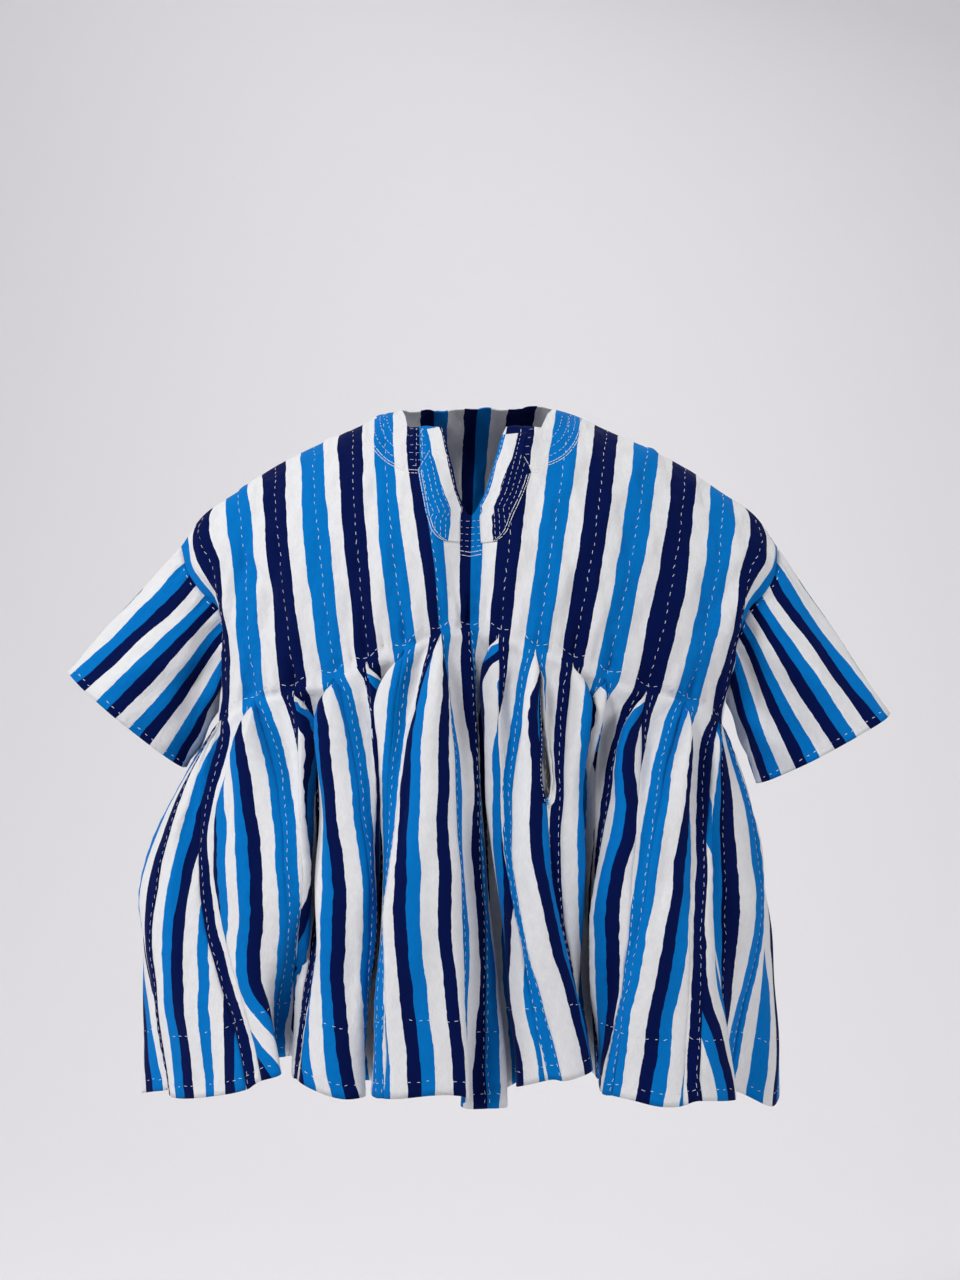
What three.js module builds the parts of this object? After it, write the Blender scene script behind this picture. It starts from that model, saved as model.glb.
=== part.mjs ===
// A fugu smock: a wide gathered smock of narrow striped strips, worn open-hemmed and hollow.
// Millimetres, +Z up, the front faces -Y, the viewer's right is +X.
// The origin is in the middle of the neck opening, level with the side points of the neck.
import * as THREE from 'three';

// ---------------------------------------------------------------- driving dimensions, mm

const CLOTH_WALL = 1.5;
const POCKET_WALL = 1.0;
const SEAM_GAP = 0.3;
const STRIPS_PER_HALF = 8;
const TAIL_HEM_WIDTH = 15;
const WHOLE_TAIL_HEM_WIDTH = 43;
const WHOLE_TAILS = [-7, 0, 1, 8];
const SIDE_GORE_HEM_WIDTH = 190;
const NECK_HALF_WIDTH_IN_STRIPS = 1.65;

const COLOURS = { white: 0xe9e8ea, sky: 0x0a78cc, navy: 0x0a1558 };

// Shoulder seam of one half: how far out and up each strip seam starts.
const SHOULDER_SEAM = [
  { seam: 0, out: 0, up: 6 },
  { seam: 1, out: 47, up: 4 },
  { seam: 2, out: 95, up: -6 },
  { seam: 3, out: 133, up: -23 },
  { seam: 4, out: 174, up: -41 },
  { seam: 5, out: 215, up: -62 },
  { seam: 6, out: 254, up: -88 },
];

// Arched gather line of one half: how far out, forward and up each strip seam ends.
const GATHER_LINE = [
  { seam: 0, out: 0, forward: 104, up: -221 },
  { seam: 1, out: 29, forward: 120, up: -225 },
  { seam: 2, out: 66, forward: 121, up: -241 },
  { seam: 3, out: 104, forward: 117, up: -255 },
  { seam: 4, out: 138, forward: 108, up: -272 },
  { seam: 5, out: 180, forward: 95, up: -287 },
  { seam: 6, out: 222, forward: 76, up: -299 },
];

// The two outermost lines of one half: strip seam 7, which turns in behind the fold at the
// front of the arm, and line 8, which is the armhole edge and, under the arm, the side seam.
const ARM_FOLD_LINE = [
  { out: 289, forward: 0, up: -112 },
  { out: 293, forward: 15, up: -128 },
  { out: 290, forward: 31, up: -146 },
  { out: 278, forward: 46, up: -168 },
  { out: 270, forward: 50, up: -205 },
  { out: 264, forward: 50, up: -262 },
  { out: 259, forward: 46, up: -323 },
];
const ARMHOLE_LINE = [
  { out: 313, forward: 0, up: -145 },
  { out: 307, forward: 18, up: -171 },
  { out: 293, forward: 28, up: -192 },
  { out: 278, forward: 27, up: -207 },
  { out: 267, forward: 25, up: -236 },
  { out: 262, forward: 21, up: -271 },
  { out: 262, forward: 0, up: -300 },
  { out: 264, forward: 0, up: -330 },
];

// Neck opening: how far down each strip line the front and back panels start.
const NECK_EDGE = {
  front: [
    { seam: 0, down: 0.58 },
    { seam: 0.35, down: 0.49 },
    { seam: 0.7, down: 0.21 },
    { seam: 1.5, down: 0.19 },
    { seam: 1.65, down: 0 },
  ],
  back: [
    { seam: 0, down: 0.1 },
    { seam: 0.7, down: 0.1 },
    { seam: 1.5, down: 0.06 },
    { seam: 1.65, down: 0 },
  ],
};

// Folds of the skirt seen from above, a row for each ridge, edge and valley, from the side
// seam on the viewer's left across the front to the right one, and back round behind. A row
// with a line lies on that line: a whole number is the middle of the gore at that seam (8 is
// the side gore), and a half is the middle of the tail between two seams.
const HEM_FRONT = [
  { x: -350, y: 16, up: -727, line: -8 },
  { x: -357, y: -22, up: -727 },
  { x: -337, y: -52, up: -716 },
  { x: -303, y: -58, up: -706 },
  { x: -320, y: -104, up: -706 },
  { x: -278, y: -152, up: -696 },
  { x: -224, y: -188, up: -672, line: -6.5 },
  { x: -196, y: -192, up: -661 },
  { x: -206, y: -112, up: -664 },
  { x: -190, y: -110, up: -664 },
  { x: -180, y: -184, up: -671 },
  { x: -134, y: -197, up: -683, line: -4 },
  { x: -112, y: -190, up: -683 },
  { x: -122, y: -138, up: -682 },
  { x: -108, y: -134, up: -682 },
  { x: -100, y: -206, up: -680, line: -1.5 },
  { x: -50, y: -217, up: -676 },
  { x: -12, y: -211, up: -679 },
  { x: -17, y: -182, up: -693 },
  { x: -5, y: -163, up: -704 },
  { x: 30, y: -160, up: -704, line: 0.5 },
  { x: 25, y: -130, up: -692 },
  { x: 40, y: -129, up: -684 },
  { x: 38, y: -190, up: -673 },
  { x: 75, y: -201, up: -665, line: 1.5 },
  { x: 108, y: -190, up: -660 },
  { x: 100, y: -84, up: -684 },
  { x: 114, y: -82, up: -686 },
  { x: 127, y: -187, up: -681, line: 5.5 },
  { x: 170, y: -206, up: -688 },
  { x: 211, y: -201, up: -687, line: 6.5 },
  { x: 257, y: -168, up: -692 },
  { x: 246, y: -122, up: -702 },
  { x: 250, y: -76, up: -708 },
  { x: 272, y: -60, up: -716 },
  { x: 311, y: -42, up: -733 },
  { x: 326, y: 8, up: -729, line: 8 },
];
const HEM_BACK = [
  { x: 306, y: 52, up: -722 },
  { x: 262, y: 70, up: -712 },
  { x: 272, y: 122, up: -708 },
  { x: 222, y: 172, up: -700 },
  { x: 196, y: 150, up: -698 },
  { x: 190, y: 98, up: -694 },
  { x: 172, y: 104, up: -694 },
  { x: 160, y: 178, up: -694 },
  { x: 118, y: 196, up: -690 },
  { x: 88, y: 182, up: -688 },
  { x: 86, y: 100, up: -688 },
  { x: 66, y: 98, up: -688 },
  { x: 56, y: 180, up: -688 },
  { x: 8, y: 202, up: -687 },
  { x: -34, y: 186, up: -688 },
  { x: -40, y: 106, up: -689 },
  { x: -60, y: 104, up: -689 },
  { x: -72, y: 184, up: -690 },
  { x: -120, y: 200, up: -692 },
  { x: -156, y: 180, up: -694 },
  { x: -160, y: 96, up: -696 },
  { x: -180, y: 92, up: -698 },
  { x: -196, y: 164, up: -700 },
  { x: -240, y: 170, up: -706 },
  { x: -288, y: 132, up: -712 },
  { x: -280, y: 78, up: -718 },
  { x: -322, y: 62, up: -722 },
];

// The same folds halfway down, at MIDDLE_HEIGHT of the skirt. The back's are the hem's, drawn in.
const MIDDLE_HEIGHT = 0.47;
const MIDDLE_FRONT = [
  { x: -344, y: 26, line: -8 },
  { x: -353, y: -16 },
  { x: -350, y: -54 },
  { x: -334, y: -84 },
  { x: -306, y: -98 },
  { x: -278, y: -114, line: -6.5 },
  { x: -232, y: -150 },
  { x: -184, y: -165, line: -5.5 },
  { x: -172, y: -156 },
  { x: -174, y: -120 },
  { x: -158, y: -118 },
  { x: -156, y: -156 },
  { x: -130, y: -172 },
  { x: -103, y: -168, line: -3.5 },
  { x: -105, y: -126 },
  { x: -92, y: -124 },
  { x: -94, y: -176, line: -1.5 },
  { x: -58, y: -190 },
  { x: -24, y: -182 },
  { x: -9, y: -160, line: -0.5 },
  { x: 8, y: -136 },
  { x: 10, y: -102 },
  { x: 22, y: -102 },
  { x: 17, y: -150 },
  { x: 28, y: -170, line: 1.5 },
  { x: 52, y: -180 },
  { x: 76, y: -176, line: 2.5 },
  { x: 99, y: -160 },
  { x: 96, y: -118 },
  { x: 112, y: -116 },
  { x: 118, y: -160 },
  { x: 160, y: -180, line: 5.5 },
  { x: 192, y: -175 },
  { x: 218, y: -158, line: 6.5 },
  { x: 233, y: -146 },
  { x: 231, y: -122 },
  { x: 248, y: -110 },
  { x: 278, y: -92 },
  { x: 300, y: -46 },
  { x: 306, y: 6, line: 8 },
];
const MIDDLE_BACK = { x: 0.94, y: 0.86 };
const MIDDLE_GORE_SHARE = 0.85;
const MIDDLE_LATE_GORE_SHARE = 0.4;
const MIDDLE_SIDE_GORE_SHARE = 0.5;

// Hem width of the gore let in at each strip seam, on the front and the back. The front gores
// at LATE_GORE_SEAMS open late.
const LATE_GORE_SEAMS = [-7, 7];
const GORES = [
  { seam: -7, front: 100, back: 62 },
  { seam: -6, front: 90, back: 54 },
  { seam: -5, front: 60, back: 66 },
  { seam: -4, front: 90, back: 52 },
  { seam: -3, front: 48, back: 70 },
  { seam: -2, front: 46, back: 56 },
  { seam: -1, front: 98, back: 72 },
  { seam: 1, front: 100, back: 60 },
  { seam: 2, front: 84, back: 74 },
  { seam: 3, front: 48, back: 54 },
  { seam: 4, front: 48, back: 68 },
  { seam: 5, front: 56, back: 52 },
  { seam: 6, front: 78, back: 64 },
  { seam: 7, front: 88, back: 58 },
];

// Sleeves: the outer and inner ends of each cuff, and how wide it stands open.
const CUFFS = {
  left: { outer: [-434, 0, -276], inner: [-309, 0, -380], depth: 82 },
  right: { outer: [435, 0, -321], inner: [293, 0, -396], depth: 82 },
};

// Pocket slits lie in the outer seam of the second gores, between these heights of the skirt.
// Each bag is a leaf of cloth behind its slit.
const POCKET = { seams: [-2, 2], top: 0.05, bottom: 0.36, gape: 3.5, behind: 3, reach: 16 };

// Rows down the panels and down the skirt, as shares of their length.
const PANEL_ROWS = [0, 0.14, 0.28, 0.42, 0.56, 0.71, 0.86, 1];
const UNDERARM_ROW = 6;
const SKIRT_ROWS = [0, 0.012, 0.05, 0.13, 0.24, 0.36, 0.48, 0.63, 0.81, 1];
const TIP_ROW = 1;
const TIP_SHARE = 0.25;
const TIP_WIDTH = 2.4;
const COLUMN_WIDTH = 23;
const TOP_FLARE = 1.9;
const HEM_HANG = 0.8;

// ---------------------------------------------------------------- curves

const vector = (x, y, z) => new THREE.Vector3(x, y, z);
const mix = (a, b, share) => a + (b - a) * share;

function smoothCurve(points, closed = false) {
  const curve = new THREE.CatmullRomCurve3(points, closed, 'centripetal');
  curve.arcLengthDivisions = 60 * points.length;
  return curve;
}

const armFoldCurve = smoothCurve(ARM_FOLD_LINE.map((p) => vector(p.out, p.forward, p.up)));
const armholeCurve = smoothCurve(ARMHOLE_LINE.map((p) => vector(p.out, p.forward, p.up)));

// Share of a quarter ellipse at which its arc length reaches the given share of the whole.
function quarterEllipseAngle(reach, drop, share) {
  const steps = 64;
  const lengths = [0];
  for (let i = 1; i <= steps; i += 1) {
    const middle = ((i - 0.5) / steps) * (Math.PI / 2);
    const speed = Math.hypot(reach * Math.cos(middle), drop * Math.sin(middle));
    lengths.push(lengths[i - 1] + speed);
  }
  const wanted = share * lengths[steps];
  let i = 1;
  while (i < steps && lengths[i] < wanted) i += 1;
  const inside = (wanted - lengths[i - 1]) / (lengths[i] - lengths[i - 1]);
  return ((i - 1 + inside) / steps) * (Math.PI / 2);
}

// Sideways drift of the centre line, which hangs a little to the viewer's left.
function drift(seam, share) {
  const edge = (Math.abs(seam) / STRIPS_PER_HALF) ** 2;
  return -9 * Math.sin((Math.PI / 2) * share) + 11 * edge * Math.sin(Math.PI * share);
}

// One strip seam of a panel, share 0 at the shoulder to 1 at the gather line.
// face is -1 on the front and +1 on the back.
function seamPoint(face, seam, share) {
  const half = Math.abs(seam);
  const side = Math.sign(seam) || 1;
  let point;
  if (half >= 7) {
    point = (half === 7 ? armFoldCurve : armholeCurve).getPointAt(share);
  } else {
    const top = SHOULDER_SEAM[half];
    const end = GATHER_LINE[half];
    const drop = top.up - end.up;
    const angle = quarterEllipseAngle(end.forward, drop, share);
    const out = mix(top.out, end.out, share ** 1.4);
    point = vector(out, end.forward * Math.sin(angle), top.up - drop * (1 - Math.cos(angle)));
  }
  const y = face * (point.y + SEAM_GAP / 2);
  return vector(side * point.x + drift(seam, share), y, point.z);
}

// Any line of a panel, between the strip seams.
function panelPoint(face, line, share) {
  const seams = [];
  for (let seam = -STRIPS_PER_HALF; seam <= STRIPS_PER_HALF; seam += 1) {
    seams.push(seamPoint(face, seam, share));
  }
  return smoothCurve(seams).getPoint((line + STRIPS_PER_HALF) / (2 * STRIPS_PER_HALF));
}

function neckEdge(faceName, line) {
  const rows = NECK_EDGE[faceName];
  const half = Math.abs(line);
  for (let i = 1; i < rows.length; i += 1) {
    if (half <= rows[i].seam) {
      const share = (half - rows[i - 1].seam) / (rows[i].seam - rows[i - 1].seam);
      return mix(rows[i - 1].down, rows[i].down, share);
    }
  }
  return 0;
}

// Skirt point at a height from 0 at the gather line, through the middle section, to 1 at the
// hem. The gathers open fast at the top, then the folds run smoothly down.
function skirtPoint(gather, middle, hem, height) {
  const middleSlope = hem.clone().sub(gather);
  const upper = height <= MIDDLE_HEIGHT;
  const span = upper ? MIDDLE_HEIGHT : 1 - MIDDLE_HEIGHT;
  const [from, to] = upper ? [gather, middle] : [middle, hem];
  const share = upper ? height / span : (height - MIDDLE_HEIGHT) / span;
  const startSlope = upper
    ? middle.clone().sub(gather).multiplyScalar(TOP_FLARE / span)
    : middleSlope;
  const endSlope = upper ? middleSlope : hem.clone().sub(middle).multiplyScalar(HEM_HANG / span);
  const [s2, s3] = [share ** 2, share ** 3];
  const point = from.clone().multiplyScalar(2 * s3 - 3 * s2 + 1)
    .addScaledVector(startSlope, span * (s3 - 2 * s2 + share))
    .addScaledVector(to, 3 * s2 - 2 * s3)
    .addScaledVector(endSlope, span * (s3 - s2));
  point.z = mix(gather.z, hem.z, height);
  return point;
}

// ---------------------------------------------------------------- walls of cloth

// Gives a sheet its wall: the sheet is the outer face, and every free edge is closed.
function thicken(points, normals, triangles, wall) {
  const count = points.length;
  const positions = [];
  points.forEach((p) => positions.push(p.x, p.y, p.z));
  points.forEach((p, i) => {
    const n = normals[i];
    positions.push(p.x - n.x * wall, p.y - n.y * wall, p.z - n.z * wall);
  });
  const index = [];
  const edges = new Map();
  triangles.forEach(([a, b, c]) => {
    index.push(a, b, c, count + a, count + c, count + b);
    [[a, b], [b, c], [c, a]].forEach(([from, to]) => {
      if (edges.has(`${to}_${from}`)) edges.delete(`${to}_${from}`);
      else edges.set(`${from}_${to}`, [from, to]);
    });
  });
  // Facing edges of two pieces are split the same way, from the upper end outside.
  edges.forEach(([from, to]) => {
    if (points[to].z > points[from].z) {
      index.push(to, from, count + from, to, count + from, count + to);
    } else {
      index.push(to, from, count + to, from, count + from, count + to);
    }
  });
  const geometry = new THREE.BufferGeometry();
  geometry.setAttribute('position', new THREE.Float32BufferAttribute(positions, 3));
  geometry.setIndex(index);
  return geometry;
}

// Two triangles of a grid cell; columns run round the body, rows run down.
function cell(topLeft, topRight, bottomLeft, bottomRight) {
  return [[topLeft, bottomLeft, topRight], [topRight, bottomLeft, bottomRight]];
}

// Outward normals of a grid of points, columns[column][row]; a closed grid wraps round.
function gridNormals(columns, closed) {
  const last = columns.length - 1;
  return columns.map((rows, c) => rows.map((_, r) => {
    const left = c > 0 ? c - 1 : (closed ? last : c);
    const right = c < last ? c + 1 : (closed ? 0 : c);
    const up = Math.max(r - 1, 0);
    const down = Math.min(r + 1, rows.length - 1);
    const across = columns[right][r].clone().sub(columns[left][r]);
    const along = rows[down].clone().sub(rows[up]);
    const normal = along.cross(across);
    // Where the front meets the back the wall stands square to the seam.
    if (Math.abs(rows[r].y) < SEAM_GAP) normal.y = 0;
    return normal.normalize();
  }));
}

function makeMesh(name, geometry, colour) {
  const material = new THREE.MeshStandardMaterial({ color: colour, roughness: 0.9, metalness: 0 });
  const mesh = new THREE.Mesh(geometry, material);
  mesh.name = name;
  return mesh;
}

// ---------------------------------------------------------------- lines of the whole smock

// Lines of one panel: a few to a strip round the neck, and the strip seams further out.
function panelLines() {
  const half = [0, 0.35, 0.7, 1, 1.5, NECK_HALF_WIDTH_IN_STRIPS, 2];
  for (let seam = 3; seam <= STRIPS_PER_HALF; seam += 1) half.push(seam);
  return [...half.slice(1).reverse().map((line) => -line), ...half];
}

// The grid of one panel from the shoulder, or the neck edge, down to the gather line.
function panelGrid(faceName, face) {
  const lines = panelLines().sort((a, b) => -face * (a - b));
  const columns = lines.map((line) => {
    const start = neckEdge(faceName, line);
    return PANEL_ROWS.map((share) => panelPoint(face, line, mix(start, 1, share)));
  });
  return { lines, columns, normals: gridNormals(columns, false) };
}
const panels = { front: panelGrid('front', -1), back: panelGrid('back', 1) };

const goreColumns = (width) => Math.max(3, Math.round(width / COLUMN_WIDTH));

// The pieces of one face's skirt from its first side seam to its last: tails and gores.
function skirtPieces(faceName) {
  const order = faceName === 'front' ? 1 : -1;
  const { lines } = panels[faceName];
  const pieces = [];
  for (let start = -STRIPS_PER_HALF; start < STRIPS_PER_HALF; start += 1) {
    const [from, to] = [order * start, order * (start + 1)];
    const [low, high] = [Math.min(from, to), Math.max(from, to)];
    const whole = WHOLE_TAILS.includes(high);
    pieces.push({
      kind: 'tail',
      line: low + 0.5,
      lines: lines.filter((line) => line >= low && line <= high),
      width: whole ? WHOLE_TAIL_HEM_WIDTH : TAIL_HEM_WIDTH,
    });
    const gore = GORES.find((row) => row.seam === to);
    if (gore && start + 1 < STRIPS_PER_HALF) {
      const width = gore[faceName];
      const columns = goreColumns(width);
      const late = faceName === 'front' && LATE_GORE_SEAMS.includes(to);
      pieces.push({
        kind: 'gore', seam: to, line: to, lines: Array(columns + 1).fill(to), width, late,
      });
    }
  }
  return pieces;
}

const sideGoreColumns = goreColumns(SIDE_GORE_HEM_WIDTH);
const sideGore = (seam) => ({
  kind: 'gore',
  seam,
  line: seam,
  lines: Array(sideGoreColumns + 1).fill(seam),
  width: SIDE_GORE_HEM_WIDTH,
});
const frontPieces = skirtPieces('front');
const backPieces = skirtPieces('back');
const rightGore = sideGore(STRIPS_PER_HALF);
const leftGore = sideGore(-STRIPS_PER_HALF);
const allPieces = [...frontPieces, rightGore, ...backPieces, leftGore];

// Share of its hem width that a piece has halfway down.
function middleShare(piece) {
  if (piece.kind === 'tail') return 1;
  if (piece.late) return MIDDLE_LATE_GORE_SHARE;
  return Math.abs(piece.seam) === STRIPS_PER_HALF ? MIDDLE_SIDE_GORE_SHARE : MIDDLE_GORE_SHARE;
}

// A section of the skirt, as a closed curve. The pieces are laid along it by their flat
// widths. Rows that hold a line pin it there, and the cloth is even between them.
function section(front, back, shareOf) {
  const rows = [...front, ...back];
  const curve = smoothCurve(rows.map((row) => vector(row.x, row.y, row.up ?? 0)), true);
  const steps = 4000;
  const lengths = curve.getLengths(steps);
  const starts = new Map();
  let total = (leftGore.width * shareOf(leftGore)) / 2;
  allPieces.forEach((piece) => {
    starts.set(piece, total);
    total += piece.width * shareOf(piece);
  });
  total -= (leftGore.width * shareOf(leftGore)) / 2;
  const flatAt = (piece, share) => starts.get(piece) + share * piece.width * shareOf(piece);
  const pins = front.flatMap((row, i) => {
    if (row.line === undefined) return [];
    const piece = allPieces.find((one) => one.line === row.line);
    const flat = piece === leftGore ? 0 : flatAt(piece, 0.5);
    return [{ flat, along: lengths[Math.round((i / rows.length) * steps)] }];
  });
  pins.push({ flat: total, along: lengths[steps] });
  return (piece, share) => {
    const flat = flatAt(piece, share) % total;
    const next = pins.findIndex((pin) => pin.flat > flat);
    const [from, to] = [pins[next - 1], pins[next]];
    const between = (flat - from.flat) / (to.flat - from.flat);
    return curve.getPointAt(mix(from.along, to.along, between) / lengths[steps]);
  };
}
const middleBackRows = HEM_BACK.map((row) => (
  { x: row.x * MIDDLE_BACK.x, y: row.y * MIDDLE_BACK.y }));
const hemAt = section(HEM_FRONT, HEM_BACK, () => 1);
const middleAt = section(MIDDLE_FRONT, middleBackRows, middleShare);

// All the skirt's columns in order round the hem, with every point and normal.
const loop = [];
function addToLoop(piece, faceName, flat) {
  const { lines, columns, normals } = panels[faceName];
  piece.columns = piece.lines.map((line, i) => {
    if (i === 0 && loop.length) return loop[loop.length - 1];
    const gather = columns[lines.indexOf(line)][PANEL_ROWS.length - 1].clone();
    if (flat) gather.setY(0);
    const middle = middleAt(piece, i / (piece.lines.length - 1));
    const hem = hemAt(piece, i / (piece.lines.length - 1));
    const column = {
      points: SKIRT_ROWS.map((height) => skirtPoint(gather, middle, hem, height)),
      gatherNormal: normals[lines.indexOf(line)][PANEL_ROWS.length - 1],
    };
    column.points[TIP_ROW].lerpVectors(gather, column.points[TIP_ROW + 1], TIP_SHARE);
    loop.push(column);
    return column;
  });
}

// The tip of a gore is a short straight edge, laid along the gather line.
function layTip({ columns }) {
  const last = columns.length - 1;
  const before = loop.at(loop.indexOf(columns[0]) - 1).points[0];
  const after = loop[(loop.indexOf(columns[last]) + 1) % loop.length].points[0];
  const across = after.clone().sub(before).normalize();
  const ends = [columns[0], columns[last]].map((column) => column.points[TIP_ROW]);
  const middle = ends[0].clone().add(ends[1]).multiplyScalar(0.5);
  const width = Math.max(ends[1].clone().sub(ends[0]).dot(across), TIP_WIDTH);
  columns.forEach((column, c) => {
    column.points[TIP_ROW].copy(middle).addScaledVector(across, (c / last - 0.5) * width);
  });
}
frontPieces.forEach((piece) => addToLoop(piece, 'front', false));
addToLoop(rightGore, 'front', true);
backPieces.forEach((piece) => addToLoop(piece, 'back', false));
addToLoop(leftGore, 'back', true);
leftGore.columns[leftGore.columns.length - 1] = loop[0];
loop.pop();
allPieces.filter((piece) => piece.kind === 'gore').forEach(layTip);
gridNormals(loop.map((column) => column.points), true).forEach((normals, i) => {
  const { gatherNormal } = loop[i];
  normals[0].copy(gatherNormal);
  normals[TIP_ROW].copy(gatherNormal);
  loop[i].normals = normals;
});

// How far an edge stands back from its seam; a pocket slit gapes.
function setback(piece, edge, height) {
  const plain = piece.kind === 'gore' ? 0.7 * SEAM_GAP : 0.35 * SEAM_GAP;
  const slit = piece.pocketEdge === edge && height > POCKET.top && height < POCKET.bottom;
  if (!slit) return plain;
  const share = (height - POCKET.top) / (POCKET.bottom - POCKET.top);
  return plain + POCKET.gape * Math.sin(Math.PI * share);
}
POCKET.seams.forEach((seam) => {
  const at = frontPieces.findIndex((piece) => piece.kind === 'gore' && piece.seam === seam);
  const outer = Math.sign(seam);
  frontPieces[at].pocketEdge = outer > 0 ? 'last' : 'first';
  frontPieces[at + outer].pocketEdge = outer > 0 ? 'first' : 'last';
});

// A skirt piece's own points, with its two edges standing back from the seams.
function pieceGrid(piece) {
  const last = piece.columns.length - 1;
  const points = piece.columns.map((column) => column.points.map((p) => p.clone()));
  const normals = piece.columns.map((column) => column.normals.map((n) => n.clone()));
  [[0, 1, 'first'], [last, last - 1, 'last']].forEach(([edge, inner, name]) => {
    points[edge].forEach((p, r) => {
      if (r === 0) return;
      const inward = piece.columns[inner].points[r].clone().sub(piece.columns[edge].points[r]);
      p.add(inward.normalize().multiplyScalar(setback(piece, name, SKIRT_ROWS[r])));
    });
  });
  return { points, normals };
}

// ---------------------------------------------------------------- pieces

function buildGore(name, piece, colour) {
  const grid = pieceGrid(piece);
  const points = grid.points.map((rows) => rows.slice(TIP_ROW));
  const normals = grid.normals.map((rows) => rows.slice(TIP_ROW));
  const last = points.length - 1;
  const rowCount = SKIRT_ROWS.length - TIP_ROW;
  const triangles = [];
  for (let c = 0; c < last; c += 1) {
    for (let r = 0; r < rowCount - 1; r += 1) {
      const at = c * rowCount + r;
      triangles.push(...cell(at, at + rowCount, at + 1, at + rowCount + 1));
    }
  }
  return makeMesh(name, thicken(points.flat(), normals.flat(), triangles, CLOTH_WALL), colour);
}

// A panel with its tails: one comb-shaped sheet from the shoulder to the hem.
function buildPanel(name, panel, pieces) {
  const { lines, columns } = panel;
  const rowCount = PANEL_ROWS.length;
  const points = columns.flat();
  const normals = panel.normals.flat();
  const triangles = [];
  for (let c = 0; c < lines.length - 1; c += 1) {
    for (let r = 0; r < rowCount - 1; r += 1) {
      const at = c * rowCount + r;
      triangles.push(...cell(at, at + rowCount, at + 1, at + rowCount + 1));
    }
  }
  const gatherVertex = (line) => lines.indexOf(line) * rowCount + rowCount - 1;
  const tails = [];
  pieces.filter((piece) => piece.kind === 'tail').forEach((piece) => {
    const joined = piece.lines[0] === 0;
    if (joined) {
      const before = tails[tails.length - 1];
      before.lines = [...before.lines, ...piece.lines.slice(1)];
      before.columns = [...before.columns, ...piece.columns.slice(1)];
    } else {
      tails.push({ ...piece });
    }
  });
  tails.forEach((tail) => {
    const grid = pieceGrid(tail);
    const vertices = tail.lines.map((line, c) => SKIRT_ROWS.map((_, r) => {
      if (r === 0) return gatherVertex(line);
      points.push(grid.points[c][r]);
      normals.push(grid.normals[c][r]);
      return points.length - 1;
    }));
    for (let c = 0; c < tail.lines.length - 1; c += 1) {
      for (let r = 0; r < SKIRT_ROWS.length - 1; r += 1) {
        triangles.push(...cell(
          vertices[c][r], vertices[c + 1][r], vertices[c][r + 1], vertices[c + 1][r + 1],
        ));
      }
    }
  });
  return makeMesh(name, thicken(points, normals, triangles, CLOTH_WALL), COLOURS.white);
}

// A sleeve: a tube from the armhole edges of both panels to its open cuff.
function buildSleeve(name, side) {
  const { front, back } = panels;
  const cuff = CUFFS[side < 0 ? 'left' : 'right'];
  const ring = [];
  const edge = (panel) => (side < 0) === (panel.lines[0] < 0) ? 0 : panel.lines.length - 1;
  const [frontEdge, backEdge] = [edge(front), edge(back)];
  for (let r = 0; r <= UNDERARM_ROW; r += 1) ring.push({ panel: front, column: frontEdge, row: r });
  for (let r = UNDERARM_ROW - 1; r > 0; r -= 1) ring.push({ panel: back, column: backEdge, row: r });
  const outer = vector(...cuff.outer);
  const inner = vector(...cuff.inner);
  const centre = outer.clone().add(inner).multiplyScalar(0.5);
  const halfHeight = outer.clone().sub(inner).multiplyScalar(0.5);
  const rings = 6;
  const columns = ring.map(({ panel, column, row }, i) => {
    const beside = column === 0 ? 1 : column - 1;
    const start = panel.columns[column][row].clone();
    const outward = start.clone().sub(panel.columns[beside][row]).normalize();
    start.add(outward.multiplyScalar(SEAM_GAP));
    if (row === 0 || row === UNDERARM_ROW) start.setY(0);
    if (row === UNDERARM_ROW) start.z += 2 * SEAM_GAP;
    const angle = (2 * Math.PI * i) / ring.length;
    const end = centre.clone().addScaledVector(halfHeight, Math.cos(angle));
    end.y -= (cuff.depth / 2) * Math.sin(angle);
    return Array.from({ length: rings }, (_, r) => start.clone().lerp(end, r / (rings - 1)));
  });
  if (side > 0) columns.reverse();
  const normals = gridNormals(columns, true);
  const order = side > 0 ? [...ring].reverse() : ring;
  order.forEach(({ panel, column, row }, i) => {
    normals[i][0] = panel.normals[column][row].clone();
  });
  const points = columns.flat();
  const triangles = [];
  for (let c = 0; c < columns.length; c += 1) {
    const next = (c + 1) % columns.length;
    for (let r = 0; r < rings - 1; r += 1) {
      triangles.push(...cell(
        c * rings + r, next * rings + r, c * rings + r + 1, next * rings + r + 1,
      ));
    }
  }
  return makeMesh(name, thicken(points, normals.flat(), triangles, CLOTH_WALL), COLOURS.sky);
}

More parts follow.
